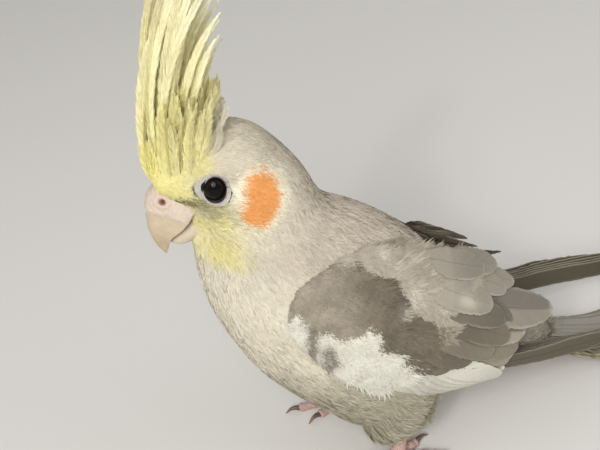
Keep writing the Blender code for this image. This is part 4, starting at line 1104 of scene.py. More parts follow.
def makeTail():
    # six pairs of vanes, the outer ones below; z = tailFloor + layer (feathers beneath) and
    # y = off spreading to the rear, then closing
    c = tailSettings
    batch = Batch()
    for pair in range(5, -1, -1):
        for sign in (-1.0, 1.0):
            tip, off, half = c["tip"][pair] - 1.5, c["off"][pair], c["half"][pair]

            def line(u, pair=pair, sign=sign, tip=tip, off=off):
                x = c["start"] + (tip - c["start"]) * u
                stack = sum(1 - fade(x, other, other + c["settle"]) for other in c["tip"][pair + 1:]) + 0 * x
                squeeze = 0.35 + 0.65 * fade(x, 50.0, 76.0)
                z = tailFloor(x) + c["layer"] * stack * squeeze + 0.45 + (0.12 if sign > 0 else 0.0)
                y = sign * off * (0.35 + 0.65 * fade(x, 46.0, 100.0) - 0.22 * fade(x, 110.0, 200.0))
                return np.stack([x, y, z], -1)

            def across(u, line=line):
                ahead = unit(line(u + 0.01) - line(u - 0.01))
                return unit(np.cross([0.0, 0.0, 1.0], ahead))

            def out(u, line=line, across=across):
                return unit(np.cross(unit(line(u + 0.01) - line(u - 0.01)), across(u)))

            shape = roundVane(0.5, 0.25, 0.8, 1.5)
            if pair < 2:
                hue = plainHue(c["middle"], c["rim"], 0.08, seed=pair)
            else:
                def hue(u, v, sign=sign, pair=pair):
                    return mix(marbled(u, v, pair), c["outer"], fade(v * sign * -1, -0.1, 0.35) * 0.75)
            vaneFeather(batch, line, across, out, lambda u, half=half, shape=shape: half * shape(u), hue,
                        seed=200 + pair * 2 + int(sign), rows=70, columns=11, cup=0.03, thick=0.2, shaft=0.5,
                        notch=0.06)
    piece = batch.piece("tail_feathers")
    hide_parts("tail")
    return piece


# Crest: slender feathers of fine barbs, the front ones longest

crestSettings = {
    # long feathers: roots x, z at the front and rear, y in turn, length, heading at root and tip
    "count": 46, "front": (-42.5, 112.0), "rear": (-28.0, 119.2),
    "rows": (-2.8, 0.6, 2.8, -1.4, 1.7, -0.4, 3.4, -3.4),
    "length": ((0.0, 0.12, 0.3, 0.5, 0.75, 1.0), (44.0, 58.0, 63.0, 56.0, 40.0, 25.0)),
    "start": (87.0, 82.0), "end": (50.0, 42.0), "half": 2.1, "seed": 11, "face": (35.0, 88.0),
    "base": (0.97, 0.92, 0.49), "middle": (0.95, 0.89, 0.54), "tip": (0.92, 0.87, 0.64),
    "shaft": (0.86, 0.81, 0.52),
    # short feathers between the cere and the long ones, and pale ones behind
    "short": {"count": 200, "from": 16.0, "to": 13.2, "y": 7.0, "length": (7.0, 24.0), "half": 1.9},
    "behind": {"count": 34, "from": 13.3, "to": 12.7, "y": 4.5, "length": (7.0, 13.0), "half": 1.5,
               "tone": (0.80, 0.75, 0.60)},
}


# a barb laid flat in its cell of the bake map
bladeCell = np.array([(-0.5, -0.5), (0.5, -0.5), (-0.5, 0.1), (0.5, 0.1), (0.0, 0.5)])


def barbRow(batch, line, across, out, half, hue, count, draw, width, fluff, lean=0.44, droop=0.05):
    # barbs leave the shaft in pairs, lean to the tip and curve: at part w a barb stands
    # half(u) (cos lean ahead + sin lean across) w, falling by droop w^2
    u = np.linspace(0.02, 1.0, count) + draw.normal(0, 0.003, count)
    for side in (-1.0, 1.0):
        k = draw.uniform(0.82, 1.1, count)
        turn = lean * (1 - 0.55 * fade(u, 0.75, 1.0)) * draw.normal(1, 0.07, count)
        reach = half(np.clip(u, 0, 1)) * k
        step = np.array([0.0, 0.5, 1.0])
        p, a, n = line(u), across(u), out(u)
        t = unit(line(u + 0.01) - line(u - 0.01))
        bend = turn[:, None] * (1 - 0.35 * step)
        sideways = (reach[:, None] / np.sin(lean) * step) * np.sin(bend)
        ahead = (reach[:, None] / np.sin(lean) * step) * np.cos(bend)
        fall = (droop + fluff * draw.normal(0, 1, (count, 1))) * reach[:, None] * step ** 2
        pts = p[:, None] + a[:, None] * (side * sideways)[..., None] + t[:, None] * ahead[..., None]
        pts = pts - n[:, None] * fall[..., None]
        thin = np.array([1.0, 0.8, 0.0])[None] * width * draw.uniform(0.7, 1.3, (count, 1))
        flat = unit(np.cross(n, pts[:, 2] - pts[:, 0]))
        paint = hue(np.clip(u, 0, 1)) * draw.normal(1.0, 0.05, (count, 1))
        # painted shade: each barb's colour darkened towards the shaft
        verts, faces, shade = fanBlades(pts[:, None], flat[:, None], thin[:, None], paint[:, None],
                                        np.array([0.85, 1.0, 1.1]))
        batch.add(verts, faces, shade, batch.nextCells(count, bladeCell))


def crestFeather(batch, root, length, start, end, drift, face, half, hue, draw, shaft):
    # one feather whose heading turns evenly from start to end degrees over its length
    fine = np.linspace(0.0, 1.0, 61)
    turn = np.radians(start + (end - start) * fine)
    path = np.stack([np.cos(turn), 0 * fine, np.sin(turn)], 1) * length / 60
    path = np.concatenate([[[0, 0, 0]], np.cumsum((path[1:] + path[:-1]) / 2, 0)]) + np.array(root)
    path[:, 1] += drift * fine ** 1.4 * length

    def line(u):
        past, before = np.clip(u - 1, 0, None)[:, None], np.clip(u, None, 0)[:, None]
        extra = past * (path[-1] - path[-4]) * 20 + before * (path[3] - path[0]) * 20
        return np.stack([np.interp(u, fine, path[:, i]) for i in range(3)], -1) + extra

    def across(u):
        a = np.radians(start + (end - start) * np.clip(u, 0, 1))
        level = np.stack([-np.sin(a), 0 * a, np.cos(a)], -1)
        return np.array([0.0, 1.0, 0.0]) * math.cos(face) + level * math.sin(face)

    def out(u):
        return unit(np.cross(unit(line(u + 0.01) - line(u - 0.01)), across(u)))

    def wide(u):
        return half * np.interp(u, (0, 0.2, 0.5, 0.8, 1.0), (0.6, 1.0, 0.95, 0.66, 0.25))

    fluff, width = (0.16, 0.19) if length > 26 else (0.55, 0.13)   # short feathers are looser and finer
    barbRow(batch, line, across, out, wide, hue, int(length * 3.0) + 8, draw, width, fluff)
    u = np.linspace(0, 1, 24)
    ring = np.linspace(0, 2 * math.pi, 5, endpoint=False)
    thin = 0.05 + 0.0028 * length * (1 - 0.85 * u)
    round5 = across(u)[:, None] * np.cos(ring)[None, :, None] + out(u)[:, None] * np.sin(ring)[None, :, None]
    tube = line(u)[:, None] + round5 * thin[:, None, None]
    strip = np.stack(np.meshgrid(np.linspace(-0.5, 0.5, 24), np.linspace(-0.5, 0.5, 5), indexing="ij"), -1)
    batch.add(tube, [gridFaces(24, 5, wrap=True)], np.array(shaft), batch.nextCells(1, strip.reshape(-1, 2)))


def makeCrest():
    # long feathers from front to rear, each turned some way about its shaft, then short ones
    # rooted on the form between the cere and the long ones, and pale ones behind
    c = crestSettings
    draw = np.random.default_rng(c["seed"])
    batch = Batch()
    for number in range(c["count"]):
        f = number / (c["count"] - 1)
        y = c["rows"][number % len(c["rows"])] * (0.45 + 0.55 * min(f * 3, 1.0))
        root = (c["front"][0] * (1 - f) + c["rear"][0] * f, y, c["front"][1] * (1 - f) + c["rear"][1] * f)
        length = np.interp(f, *c["length"]) * draw.uniform(0.90, 1.04)
        start = c["start"][0] * (1 - f) + c["start"][1] * f + draw.uniform(-3, 3)
        end = c["end"][0] * (1 - f) + c["end"][1] * f + draw.uniform(-9, 9)
        face = math.radians(draw.uniform(*c["face"])) * (1 if number % 2 else -1)
        shade = 0.95 + 0.09 * ((number * 7) % 5) / 4

        def hue(u, shade=shade):
            colour = mix(c["base"], c["middle"], fade(u, 0.1, 0.55))
            return mix(colour, c["tip"], fade(u, 0.6, 1.0)) * shade

        crestFeather(batch, root, length, start, end, 0.05 * y + draw.uniform(-0.02, 0.02), face, c["half"],
                     hue, draw, np.array(c["shaft"]) * shade)
    for part, tone in (("short", None), ("behind", c["behind"]["tone"])):
        k = c[part]
        for number in range(k["count"]):
            f = (number + draw.uniform(0, 1)) / k["count"]
            y = draw.uniform(-1, 1) * k["y"] * (0.6 + 0.4 * min(f * 2.5, 1.0))
            foot = bodyAt(np.array([k["from"] + (k["to"] - k["from"]) * f]), np.array([y / 6.5]), -0.5)[0]
            least, most = k["length"]
            length = np.interp(f, (0, 0.35, 1), (least, most, most * 0.7)) * draw.uniform(0.7, 1.1)
            normal = fieldNormal(foot)
            slope = math.degrees(math.atan2(normal[2], normal[0])) - 90.0
            start = min(slope + (14.0 if tone is None else 16.0) + draw.uniform(-5, 8), 90.0)
            end = (84.0 - 14.0 * f if tone is None else 62.0) + draw.uniform(-10, 6)
            face = math.radians(draw.uniform(50, 88)) * (1 if number % 2 else -1)
            base = mix((0.93, 0.86, 0.38), (0.93, 0.87, 0.50), np.array(f)) if tone is None else np.array(tone)
            shade = draw.uniform(0.92, 1.05)

            def hue(u, base=base, shade=shade):
                return base * (shade * (1 - 0.10 * fade(u, 0.3, 1.0)))[..., None]

            crestFeather(batch, foot, length, start, end, 0.03 * y, face, k["half"], hue, draw, base * shade)
    piece = batch.piece("crest_feathers", "OFBake")
    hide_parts("crest")
    return piece


# Eyes, with the bare ring of skin round them

eyeSettings = {"radius": 4.1, "cornea": 0.10, "rows": 40, "around": 56, "ringRows": 46, "ringAround": 144,
               "inner": 3.05, "lashes": 26}


def makeEye(side):
    # a ball with a slightly steeper cornea: r = radius + cornea cos^10
    s = eyeSettings
    aim, ahead, up = eyeAxes(side)
    lat, lon = np.meshgrid(np.linspace(0.0, math.pi, s["rows"])[1:-1],
                           np.linspace(0, 2 * math.pi, s["around"], endpoint=False), indexing="ij")
    r = s["radius"] + s["cornea"] * np.clip(np.cos(lat), 0, 1) ** 10
    parts = (r * np.cos(lat), r * np.sin(lat) * np.cos(lon), r * np.sin(lat) * np.sin(lon))
    ball = sum(axis * part[..., None] for axis, part in zip((aim, ahead, up), parts))
    points = np.concatenate([ball.reshape(-1, 3), [aim * (s["radius"] + s["cornea"])],
                             [-aim * s["radius"]]]) + eyeCentre[side]
    faces = closedFaces(*lat.shape)
    turned = np.dot(np.cross(ahead, up), aim) > 0
    faces = [f[:, ::-1] for f in faces] if turned else faces
    angle = np.concatenate([lat.ravel(), [0.0, math.pi]])
    paint = mix((0.004, 0.003, 0.003), (0.013, 0.007, 0.004), fade(angle, 0.46, 0.56))
    paint = mix(paint, (0.004, 0.003, 0.003), fade(angle, 0.66, 0.8))
    eye = addPiece("eyeball_" + side, points, faces, paint)
    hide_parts("eye_" + side)
    return eye


def makeEyeRing(side):
    # skin from the lid's rim outwards: its height over the form is a lip exp(-((part - 0.09) /
    # 0.08)^2), then fine folds of sines, then a fall under the feathers
    s = eyeSettings
    aim, ahead, up = eyeAxes(side)
    part, turn = np.meshgrid(np.linspace(0.0, 1.0, s["ringRows"]),
                             np.linspace(0, 2 * math.pi, s["ringAround"], endpoint=False), indexing="ij")
    oval = 1 + 0.12 * np.cos(2 * (turn - 2.08))
    r = s["inner"] * oval + (ringOuter(turn) - s["inner"] * oval) * part
    origin = eyeCentre[side] + (ahead * np.cos(turn)[..., None] + up * np.sin(turn)[..., None]) * r[..., None]
    base = cast(origin, aim, 0.0, 14.0)
    fold = 0.05 * np.sin(part * 27 + 2.6 * np.sin(turn * 2 + 1.0) + 1.7 * np.sin(turn * 5))
    fold = fold * fade(part, 0.14, 0.3) * (0.6 + 0.4 * np.sin(turn * 3 + part * 8))
    small = 0.05 * np.sin(turn * 44 + 5 * np.sin(part * 9)) * fade(part, 0.0, 0.2)
    rise = 0.42 * np.exp(-((part - 0.09) / 0.08) ** 2) + 0.12 - 1.6 * fade(part, 0.74, 1.0) + fold + small
    rise = rise - 0.35 * fade(np.cos(turn - 0.1), 0.7, 1.0) * fade(part, 0.02, 0.3) * (1 - fade(part, 0.4, 0.8))
    rise = rise - 1.5 * (1 - fade(part, 0.0, 0.055))
    points = base + aim * rise[..., None]
    rows, around = part.shape
    faces = [gridFaces(rows, around, wrap=True)]
    turned = np.dot(np.cross(ahead, up), aim) > 0
    faces = [f[:, ::-1] for f in faces] if not turned else faces
    paint = mix((0.045, 0.04, 0.036), (0.60, 0.585, 0.54), fade(r - s["inner"] * oval, 0.16, 0.42))
    paint = mix(paint, tones["fringe"], fade(part, 0.45, 0.9) * 0.6)
    # painted shade in the troughs of the folds
    paint = mix(paint, (0.36, 0.34, 0.31), fade(-fold / 0.05, 0.1, 1.0) * 0.4)
    # painted shade over the ring's front lower part
    paint = mix(paint, (0.34, 0.32, 0.27), fade(np.cos(turn + 0.5), 0.82, 1.0) * fade(part, 0.3, 0.8) * 0.6)
    # lashes: small dark bristles over the upper rim, thin cones of length 1.5 leaning outwards
    lashTurn = np.linspace(0.6, 3.0, s["lashes"])
    corners = np.arange(3) * 2 * math.pi / 3
    foot = points[4, np.round(lashTurn / (2 * math.pi) * around).astype(int) % around]
    radial = ahead * np.cos(lashTurn)[:, None] + up * np.sin(lashTurn)[:, None]
    way = unit(radial + aim * 0.55 - ahead * 0.35)
    first = unit(np.cross(way, aim))
    second = np.cross(way, first)
    round3 = first[:, None] * np.cos(corners)[None, :, None] + second[:, None] * np.sin(corners)[None, :, None]
    length = 1.1 + 0.7 * np.sin(lashTurn * 9.0) ** 2
    cones = np.concatenate([foot[:, None] + round3 * 0.07, (foot + way * length[:, None])[:, None]], 1)
    start = rows * around + np.arange(s["lashes"])[:, None] * 4
    faces.append(np.concatenate([start + np.array(k) for k in ((0, 1, 3), (1, 2, 3), (2, 0, 3), (0, 2, 1))]))
    everything = np.concatenate([points.reshape(-1, 3), cones.reshape(-1, 3)])
    paint = np.concatenate([paint.reshape(-1, 3), np.tile((0.06, 0.055, 0.045), (s["lashes"] * 4, 1))])
    ring = addPiece("eyelid_" + side, everything, faces, paint)
    return ring


# Bill and cere

billSettings = {
    # along the ridge x, z; along the cutting edge x, z; half width
    "upper": ((-38.5, 113.0, -32.6, 104.8, 7.2), (-42.3, 111.3, -35.0, 102.7, 7.3),
              (-44.9, 109.2, -37.2, 100.2, 6.7), (-46.4, 105.8, -39.6, 98.1, 5.6),
              (-47.4, 102.2, -41.8, 96.7, 4.6), (-47.8, 98.6, -43.1, 95.3, 3.5),
              (-47.4, 95.2, -43.9, 93.4, 2.2), (-46.6, 92.4, -44.7, 91.5, 1.2),
              (-45.5, 90.2, -45.3, 90.1, 0.3)),
    "lower": ((-34.4, 102.8, -34.0, 93.2, 5.6), (-37.0, 100.7, -37.4, 92.3, 5.3),
              (-39.3, 98.6, -39.8, 91.9, 4.4), (-41.5, 97.0, -41.9, 92.4, 3.4),
              (-43.0, 95.9, -43.2, 93.6, 2.1), (-43.6, 95.3, -43.7, 94.4, 0.9)),
    "rows": 70, "around": 72, "nostril": (-41.9, 107.9),
}


def alongTable(table, t):
    # Catmull-Rom through the rows of a table, t from 0 to 1
    table = np.asarray(table, float)
    last = len(table) - 1
    u = np.clip(t, 0, 1) * last
    i = np.clip(np.floor(u).astype(int), 0, last - 1)
    f = (u - i)[..., None]
    p0, p1, p2, p3 = (table[np.clip(i + k, 0, last)] for k in (-1, 0, 1, 2))
    return 0.5 * (2 * p1 + (p2 - p0) * f + (2 * p0 - 5 * p1 + 4 * p2 - p3) * f ** 2
                  + (3 * p1 - p0 - 3 * p2 + p3) * f ** 3)


def billAt(table, t, turn, hollow, grow=0.0):
    # section at t: turn 0 at the ridge, 1 at the cutting edge, then 1..2 across the hollow underside;
    # y = W sin(pi s / 2)^0.8 and height cos(pi s) between the two lines
    row = alongTable(table, t)
    s = np.clip(np.abs(turn), 0, 1)
    under = np.clip(np.abs(turn) - 1, 0, 1)
    height = np.cos(math.pi * s) + hollow * np.sin(math.pi * under / 2)
    wide = (row[..., 4] + grow) * np.sin(math.pi * s / 2) ** 0.8 * (1 - under)
    middle, reach = (row[..., 0:2] + row[..., 2:4]) / 2, (row[..., 0:2] - row[..., 2:4]) / 2
    reach = reach * (1 + grow / (np.linalg.norm(reach, axis=-1, keepdims=True) + 0.5))
    return np.stack([middle[..., 0] + reach[..., 0] * height, np.sign(turn) * wide,
                     middle[..., 1] + reach[..., 1] * height], -1)


def tubePiece(name, points, paint):
    # a closed piece of a grid of rings, its ends the rings' middles
    faces, everything = closedFaces(*points.shape[:2]), withEnds(points)
    made = addPiece(name, everything, faces, withEnds(paint))
    if insideOut(everything, faces):
        made.data.flip_normals()
    return made


def makeBill():
    # upper horn from billAt with growth lines of sines; lower horn of half ovals between its
    # lines; cere a raised patch of the upper's own surface, dented at the nostril
    s = billSettings
    ring = np.linspace(-2.0, 2.0, s["around"], endpoint=False)
    t, turn = np.meshgrid(np.linspace(0.0, 1.0, s["rows"]), ring, indexing="ij")
    upper = billAt(s["upper"], t, turn, 0.5)
    growth = 0.06 * np.sin(t * 52 + np.cos(turn * 2) * 2 + np.abs(turn) * 3)
    growth = growth * (1 - fade(t, 0.55, 0.9)) * (np.abs(turn) < 1)
    upper = upper + unit(upper - upper.mean(1, keepdims=True)) * growth[..., None]
    off = np.hypot(upper[..., 0] - s["nostril"][0], upper[..., 2] - s["nostril"][1]) + 9.0 * (np.abs(turn) > 1)
    upper = upper * np.stack([1 + 0 * off, 1 - 0.38 * (1 - fade(off, 0.9, 1.9)), 1 + 0 * off], -1)
    paint = mix((0.60, 0.49, 0.35), (0.46, 0.35, 0.20), fade(t, 0.45, 0.95))
    # painted shade along the cutting edge and over the hollow underside
    paint = mix(paint, (0.16, 0.10, 0.06), fade(np.abs(turn), 0.90, 1.0) * 0.85)
    paint = mix(paint, (0.56, 0.45, 0.31), 0.5 * fade(waves(upper, 2.5, 5), 0.1, 0.8))
    horn = tubePiece("bill_top", upper, paint)
    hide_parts("bill_upper")
    t, turn = np.meshgrid(np.linspace(0.0, 1.0, 40), np.linspace(-2.0, 2.0, 56, endpoint=False), indexing="ij")
    row = alongTable(s["lower"], t)
    angle = turn * math.pi / 2
    c = np.cos(angle)
    middle, reach = (row[..., 0:2] + row[..., 2:4]) / 2, (row[..., 0:2] - row[..., 2:4]) / 2
    lower = np.stack([middle[..., 0] + reach[..., 0] * c, row[..., 4] * np.sin(angle),
                      middle[..., 1] + reach[..., 1] * c], -1)
    # darker to the tip, and painted shade along the underside
    tipAndUnderShade = np.clip(fade(t, 0.55, 1.0) + fade(-c, 0.7, 1.0) * 0.6, 0, 1)
    under = tubePiece("bill_under", lower, mix((0.66, 0.56, 0.43), (0.44, 0.34, 0.21), tipAndUnderShade))
    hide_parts("bill_lower")
    part, turn = np.meshgrid(np.linspace(0.02, 1.0, 60), np.linspace(-0.86, 0.86, 110), indexing="ij")
    reachT = 0.36 + 0.05 * np.cos(turn * 4) - 0.10 * np.abs(turn) ** 3
    plain = billAt(s["upper"], reachT * part, turn, 0.5, 0.3)
    x, z = s["nostril"]
    d = np.hypot(plain[..., 0] - x, plain[..., 2] - z) + 9.0 * (np.abs(plain[..., 1]) < 2.0)
    grow = 0.30 * (1 - fade(part, 0.9, 1.0)) * (1 - fade(np.abs(turn), 0.74, 0.86)) - 0.30
    grow = grow + 0.40 * np.exp(-((d - 1.5) / 0.6) ** 2) - 1.4 * (1 - fade(d, 0.45, 1.05))
    grow = grow + 0.09 * waves(plain, 1.8, 14) * fade(d, 0.8, 1.6)
    row = alongTable(s["upper"], reachT * part)
    outward = unit(plain - (row[..., [0, 0, 1]] * np.array([1, 0, 1])
                            + row[..., [2, 2, 3]] * np.array([1, 0, 1])) / 2)
    skin = plain + outward * grow[..., None]
    # the nostril's hole painted dark, painted shade inside it
    paint = mix((0.78, 0.655, 0.545), (0.22, 0.075, 0.05), 1 - fade(d, 0.55, 1.05))
    paint = mix(paint, (0.84, 0.60, 0.52), np.exp(-((d - 1.25) / 0.4) ** 2) * 0.6)
    cere = addPiece("cere_skin", skin, [gridFaces(60, 110)], paint)
    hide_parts("cere")
    return horn, under, cere


# Legs: feathered thighs, scaly feet and claws

legSettings = {
    "x": {"left": 1.0, "right": -4.0}, "y": 17.5, "around": 24, "lowest": 0.02,
    "toe": 1.9, "taper": 0.45, "claw": 5.9, "clawRadius": 0.95,
    "toes": ((12.5, -20.0), (17.5, 8.0), (13.5, 158.0), (9.0, 202.0)),          # length, heading in degrees
    "shin": ((3.4, 15.0), (2.8, 9.2), (2.0, 6.2), (1.0, 4.2), (0.0, 2.2)),      # x behind the foot, z
    "shinRadius": (2.0, 2.0, 2.05, 2.3, 1.9), "tone": (0.66, 0.47, 0.42),
    "clawRoot": (0.13, 0.085, 0.06), "clawTip": (0.23, 0.16, 0.11),
}


def sweep(path, radius, around):
    # rings square to a path: path + radius (side cos a + up sin a)
    path = np.asarray(path, float)
    ahead = unit(np.gradient(path, axis=0))
    side = unit(np.cross(ahead, [0.0, 0.0, 1.0]) + 1e-6)
    up = np.cross(side, ahead)
    a = np.linspace(0, 2 * math.pi, around, endpoint=False)
    radius = np.asarray(radius, float)
    radius = radius[:, None] if radius.ndim == 1 else radius
    ring = side[:, None] * np.cos(a)[None, :, None] + up[:, None] * np.sin(a)[None, :, None]
    return path[:, None] + ring * radius[..., None]


def makeLegs(side):
    # shin and toes as tubes with rings of scutes, the toes' undersides swelling in pads; each
    # claw hooks down along its toe as a thinning tube
    s = legSettings
    sign, x0 = sides[side], s["x"][side]
    y0 = sign * s["y"]
    foot, nails = Batch(), Batch()
    floorUp = np.array([0.0, 0.0, 1.0])

    def addTube(batch, rings, tone):
        rings[..., 2] = np.maximum(rings[..., 2], s["lowest"])
        points, faces = withEnds(rings), closedFaces(*rings.shape[:2])
        batch.add(points, [f[:, ::-1] for f in faces] if insideOut(points, faces) else faces, tone)

    knots = np.array([(x0 + back, y0, height) for back, height in s["shin"]])
    k = np.linspace(0, 4, 40)
    path = np.stack([np.interp(k, np.arange(5), knots[:, i]) for i in range(3)], -1)
    scute = 1 + 0.05 * np.abs(np.sin(k * math.pi * 2.2))
    addTube(foot, sweep(path, np.interp(k, np.arange(5), s["shinRadius"]) * scute, s["around"]), s["tone"])
    for number, (length, heading) in enumerate(s["toes"]):
        way = math.radians(heading)
        ahead = np.array([-math.cos(way), sign * math.sin(way), 0.0])
        u = np.linspace(0, 1, 60)
        swell = 1 + 0.08 * np.cos(u * 6 * math.pi)
        full = (s["toe"] - s["taper"] * u) * swell
        radius = full * np.sqrt(np.clip(1 - np.clip((u - 0.93) / 0.075, 0, 1) ** 2, 0.12, 1))
        rise = full - 0.35 + 0.9 * (1 - fade(u, 0.0, 0.35))
        path = np.array([x0, y0, 0.0]) + ahead * (length * u)[:, None] + floorUp * rise[:, None]
        a = np.linspace(0, 2 * math.pi, s["around"], endpoint=False)
        plates = np.abs(np.sin(u * length * 1.15))[:, None] ** 0.5 * fade(np.sin(a), 0.2, 0.9)[None]
        where = np.broadcast_arrays(u[:, None] * length, np.cos(a)[None] * 2, np.sin(a)[None] * 2)
        grain = 0.05 * waves(np.stack(where, -1), 1.3, number)
        addTube(foot, sweep(path, radius[:, None] * (1 + 0.07 * plates + grain), s["around"]), s["tone"])
        hook = np.linspace(0, 1, 26)
        start = path[-1] - ahead * 0.4
        fall = (path[-1][2] - 0.42) * hook * hook
        high = 0.75 * np.sin(math.pi * np.minimum(hook * 1.1, 1)) - fall
        nail = start + ahead * (s["claw"] * hook * (1 - 0.12 * hook))[:, None] + floorUp * high[:, None]
        worn = fade(np.concatenate([np.repeat(hook, 16), [0, 1]]), 0.3, 1.0)
        addTube(nails, sweep(nail, s["clawRadius"] * (1 - 0.84 * hook ** 1.2), 16),
                mix(s["clawRoot"], s["clawTip"], worn))
    made = foot.piece("scaly_foot_" + side, None)
    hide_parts("foot_" + side)
    claws = nails.piece("claws_" + side, None)
    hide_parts(*[f"claw_{side}_{n}" for n in (1, 2, 3, 4)])
    return made, claws


thighSettings = {
    "behind": 4.5, "inward": 0.86, "height": 22.0, "tilt": 38.0, "radii": (9.5, 7.2, 13.5),
    "under": 1.0, "ankle": 11.0, "lowest": 8.0, "dark": 0.6, "seed": 61,
    "count": 2600, "blades": 8, "length": 8.0, "half": 0.30, "flare": 0.4,
    "back": (0.85, 0.0, -0.7), "lift": (-0.4, -0.08, -1.28),
}


def makeThigh(side):
    # an ellipsoid of plumage over the upper leg, and tufts at even places of it, by the golden
    # angle, that lean back and down to the ankle
    s = thighSettings
    sign = sides[side]
    centre = np.array([legSettings["x"][side] + s["behind"], sign * legSettings["y"] * s["inward"],
                       s["height"]])
    tilt = math.radians(s["tilt"])
    axes = np.array([[math.cos(tilt), 0, -math.sin(tilt)], [0, 1, 0], [math.sin(tilt), 0, math.cos(tilt)]])
    radii = np.array(s["radii"])
    lat, lon = np.meshgrid(np.linspace(0, math.pi, 50)[1:-1], np.linspace(0, 2 * math.pi, 60, endpoint=False),
                           indexing="ij")
    ball = np.stack([np.sin(lat) * np.cos(lon), np.sin(lat) * np.sin(lon), np.cos(lat)], -1)
    shape = (ball * (radii - s["under"])) @ axes + centre
    shape[..., 2] = np.maximum(shape[..., 2], s["ankle"])
    # the thigh's tone darkened for the skin under its tufts, painted shade
    dark = np.broadcast_to(np.array(tones["thigh"]) * s["dark"], shape.shape)
    skin = tubePiece("thigh_skin_" + side, shape, dark)
    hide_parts("thigh_" + side)
    draw = np.random.default_rng(s["seed"] + (side == "right"))
    n, b = s["count"], s["blades"]
    z = 1 - 2 * (np.arange(n) + 0.5) / n
    turn = np.arange(n) * 2.399963
    spot = np.stack([np.sqrt(1 - z * z) * np.cos(turn), np.sqrt(1 - z * z) * np.sin(turn), z], -1)
    point = (spot * radii) @ axes + centre
    normal = unit((spot / radii) @ axes)
    keep = (point[:, 2] > s["ankle"] + 0.5) & (point[:, 1] * sign > 6.0)
    point, normal = point[keep], normal[keep]
    n = len(point)
    back = np.array(s["back"])
    back = unit(back - normal * ((back * normal).sum(-1, keepdims=True)))
    length = np.full(n, s["length"]) * draw.uniform(0.8, 1.2, n)
    sideways = np.cross(normal, back)
    fanAngle = np.linspace(-1, 1, b)[None] * s["flare"]
    fanAngle = fanAngle + draw.normal(0, 0.1, (n, b)) + draw.normal(0, 0.12, (n, 1))
    way = back[:, None] * np.cos(fanAngle)[..., None] + sideways[:, None] * np.sin(fanAngle)[..., None]
    reach = length[:, None] * draw.uniform(0.72, 1.08, (n, b))
    line = point[:, None, None] + way[:, :, None] * (reach[..., None] * blade["step"])[..., None]
    line = line + normal[:, None, None] * np.array(s["lift"])[None, None, :, None]
    line[..., 2] = np.maximum(line[..., 2], s["lowest"])
    across = unit(np.cross(normal[:, None], way) + normal[:, None] * draw.normal(0, 0.28, (n, b, 1)))
    width = s["half"] * blade["width"] * draw.uniform(0.75, 1.25, (n, b, 1))
    hue = mix(tones["lowBelly"], tones["thigh"], fade(-point[:, 2], -26.0, -14.0))[:, None]
    hue = hue * draw.normal(1, 0.05, (n, 1, 1)) * draw.normal(1, 0.06, (n, b, 1))
    verts, faces, paint = fanBlades(line, across, width, hue)
    root = np.stack([np.mod(turn[keep], 2 * math.pi) / (2 * math.pi), (z[keep] + 1) / 2], -1)
    piece = addPiece("thigh_coat_" + side, verts, faces, paint, {"OFBake": bakeMap(root, verts, point)})
    return skin, piece


# Materials

plume = plumeMaterial("plumage")
wingVane = vaneMaterial("wing vanes", 0.62, 0.45, 0.35)
tailVane = vaneMaterial("tail vanes", 0.55, 0.5, 0.4)
crestPlume = plumeMaterial("crest barbs", 0.75)


def makeHorn():
    # worn horn: soft clouds of shade over shallow dents
    made, tree, shader = newMaterial("horn", 0.38)
    soft = useGroup(tree, mottle, Coarse=350.0, Fine=1800.0)
    base = colourBy(tree, tintNode(tree), soft["Cloud"], 0.86, 1.14)
    tree.links.new(colourBy(tree, base, soft["Grain"], 0.93, 1.07), shader.inputs["Base Color"])
    shader.inputs["Subsurface Weight"].default_value = 0.15
    shader.inputs["Subsurface Radius"].default_value = (0.004, 0.002, 0.001)
    bumpTo(tree, shader, soft["Cloud"], 0.25, 0.0003)
    return made


def makeBareSkin(name, scale, lineTone, amount, roughness=0.5):
    # pink or grey skin with small raised granules, darker in the lines between them
    made, tree, shader = newMaterial(name, roughness)
    cells = useGroup(tree, granules, Scale=scale)
    soft = useGroup(tree, mottle, Coarse=400.0, Fine=1500.0)
    base = colourBy(tree, tintNode(tree), soft["Cloud"], 0.85, 1.15)
    faded = mathNode(tree, "MULTIPLY", cells["Line"], amount)
    tree.links.new(blendColour(tree, faded, base, lineTone), shader.inputs["Base Color"])
    shader.inputs["Subsurface Weight"].default_value = 0.1
    shader.inputs["Subsurface Radius"].default_value = (0.003, 0.0012, 0.0008)
    bumpTo(tree, shader, cells["Height"], 0.6, 0.0002)
    return made


def makeEyeGloss():
    # wet and nearly black
    made, tree, shader = newMaterial("eye", 0.05)
    tree.links.new(tintNode(tree), shader.inputs["Base Color"])
    shader.inputs["Specular IOR Level"].default_value = 0.13
    return made


def makeClawHorn():
    # dark horn with clouded growth
    made, tree, shader = newMaterial("claw", 0.35)
    cloud = useGroup(tree, mottle, Coarse=500.0)["Cloud"]
    tree.links.new(colourBy(tree, tintNode(tree), cloud, 0.75, 1.25), shader.inputs["Base Color"])
    return made


horn = makeHorn()
scaly = makeBareSkin("scaly skin", 1500.0, (0.20, 0.10, 0.085), 0.75)
cereSkin = makeBareSkin("cere and lids", 2200.0, (0.40, 0.30, 0.26), 0.25)
gloss = makeEyeGloss()
clawHorn = makeClawHorn()
print("materials ready")


# Build

def finishPiece(piece, material):
    piece.data.materials.append(material)
    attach(piece, "root")


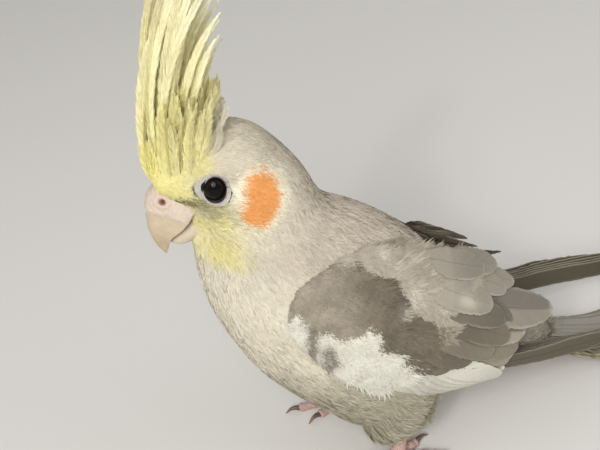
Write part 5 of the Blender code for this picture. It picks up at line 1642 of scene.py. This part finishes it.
finishPiece(makeSkin(), plume)
print("skin")
for name, settings in coatParts.items():
    finishPiece(makeCoat(name, settings), plume)
    print(name)
print("coat ready")
for side in sides:
    finishPiece(makeWingPad(side), plume)
    finishPiece(makeWingFeathers(side), wingVane)
    finishPiece(makeWingCoat(side), plume)
    for piece in makeThigh(side):
        finishPiece(piece, plume)
    finishPiece(makeEye(side), gloss)
    finishPiece(makeEyeRing(side), cereSkin)
    foot, claws = makeLegs(side)
    finishPiece(foot, scaly)
    finishPiece(claws, clawHorn)
    print("side", side)
finishPiece(makeTail(), tailVane)
finishPiece(makeCrest(), crestPlume)
for piece, material in zip(makeBill(), (horn, horn, cereSkin)):
    finishPiece(piece, material)
print("bill, tail and crest")

# Floor, light and camera

floorMesh = bpy.data.meshes.new("floor")
low = cadBox[0][2]
floorMesh.from_pydata([(-3, -3, low), (3, -3, low), (3, 3, low), (-3, 3, low)], [], [(0, 1, 2, 3)])
floor = bpy.data.objects.new("floor", floorMesh)
bpy.context.scene.collection.objects.link(floor)
ground, _, groundShader = newMaterial("pale floor", 0.9)
groundShader.inputs["Base Color"].default_value = (0.80, 0.785, 0.755, 1.0)
floorMesh.materials.append(ground)


def addLight(name, place, target, size, power, colour):
    data = bpy.data.lights.new(name, "AREA")
    data.shape = "DISK"
    data.size = size
    data.energy = power
    data.color = colour
    thing = bpy.data.objects.new(name, data)
    thing.location = Vector(place)
    thing.rotation_euler = (Vector(target) - Vector(place)).to_track_quat("-Z", "Y").to_euler()
    bpy.context.scene.collection.objects.link(thing)


lights = {
    # place from the bird's middle in metres, width, power and colour
    "key": ((-0.38, -0.98, 0.82), 0.8, 10.8, (1.0, 0.985, 0.96)),
    "glint": ((-0.55, -0.85, 0.75), 0.10, 1.6, (1.0, 0.99, 0.97)),
    "fill": ((0.9, -0.6, 0.7), 1.2, 2.5, (0.97, 0.98, 1.0)),
}
middle = shift + np.array([0.0, 0.0, 0.07])
for name, (place, size, power, colour) in lights.items():
    addLight(name, middle + np.array(place), middle, size, power, colour)

world = bpy.data.worlds.new("studio")
bpy.context.scene.world = world
world.use_nodes = True
world.node_tree.nodes["Background"].inputs["Color"].default_value = (1.0, 0.99, 0.97, 1.0)
world.node_tree.nodes["Background"].inputs["Strength"].default_value = 0.42
bpy.context.scene.view_settings.view_transform = "Standard"

view = {"place": (-39.8, -232.7, 230.0), "heading": (0.139, 0.990), "down": 31.8, "roll": 15.0, "lens": 58.0}
tilt, roll = math.radians(view["down"]), math.radians(view["roll"])
forward = Vector((view["heading"][0] * math.cos(tilt), view["heading"][1] * math.cos(tilt), -math.sin(tilt)))
right = Vector((view["heading"][1], -view["heading"][0], 0.0)).normalized()
upward = right.cross(forward)
cameraData = bpy.data.cameras.new("camera")
cameraData.lens = view["lens"]
cameraData.sensor_width = 36.0
cameraData.clip_start = 0.01
camera = bpy.data.objects.new("camera", cameraData)
turned = Matrix((right * math.cos(roll) - upward * math.sin(roll),
                 right * math.sin(roll) + upward * math.cos(roll), -forward)).transposed()
print("floor, light and camera ready")
camera.matrix_world = Matrix.Translation(Vector(np.array(view["place"]) * mm + shift)) @ turned.to_4x4()
bpy.context.scene.collection.objects.link(camera)
bpy.context.scene.camera = camera
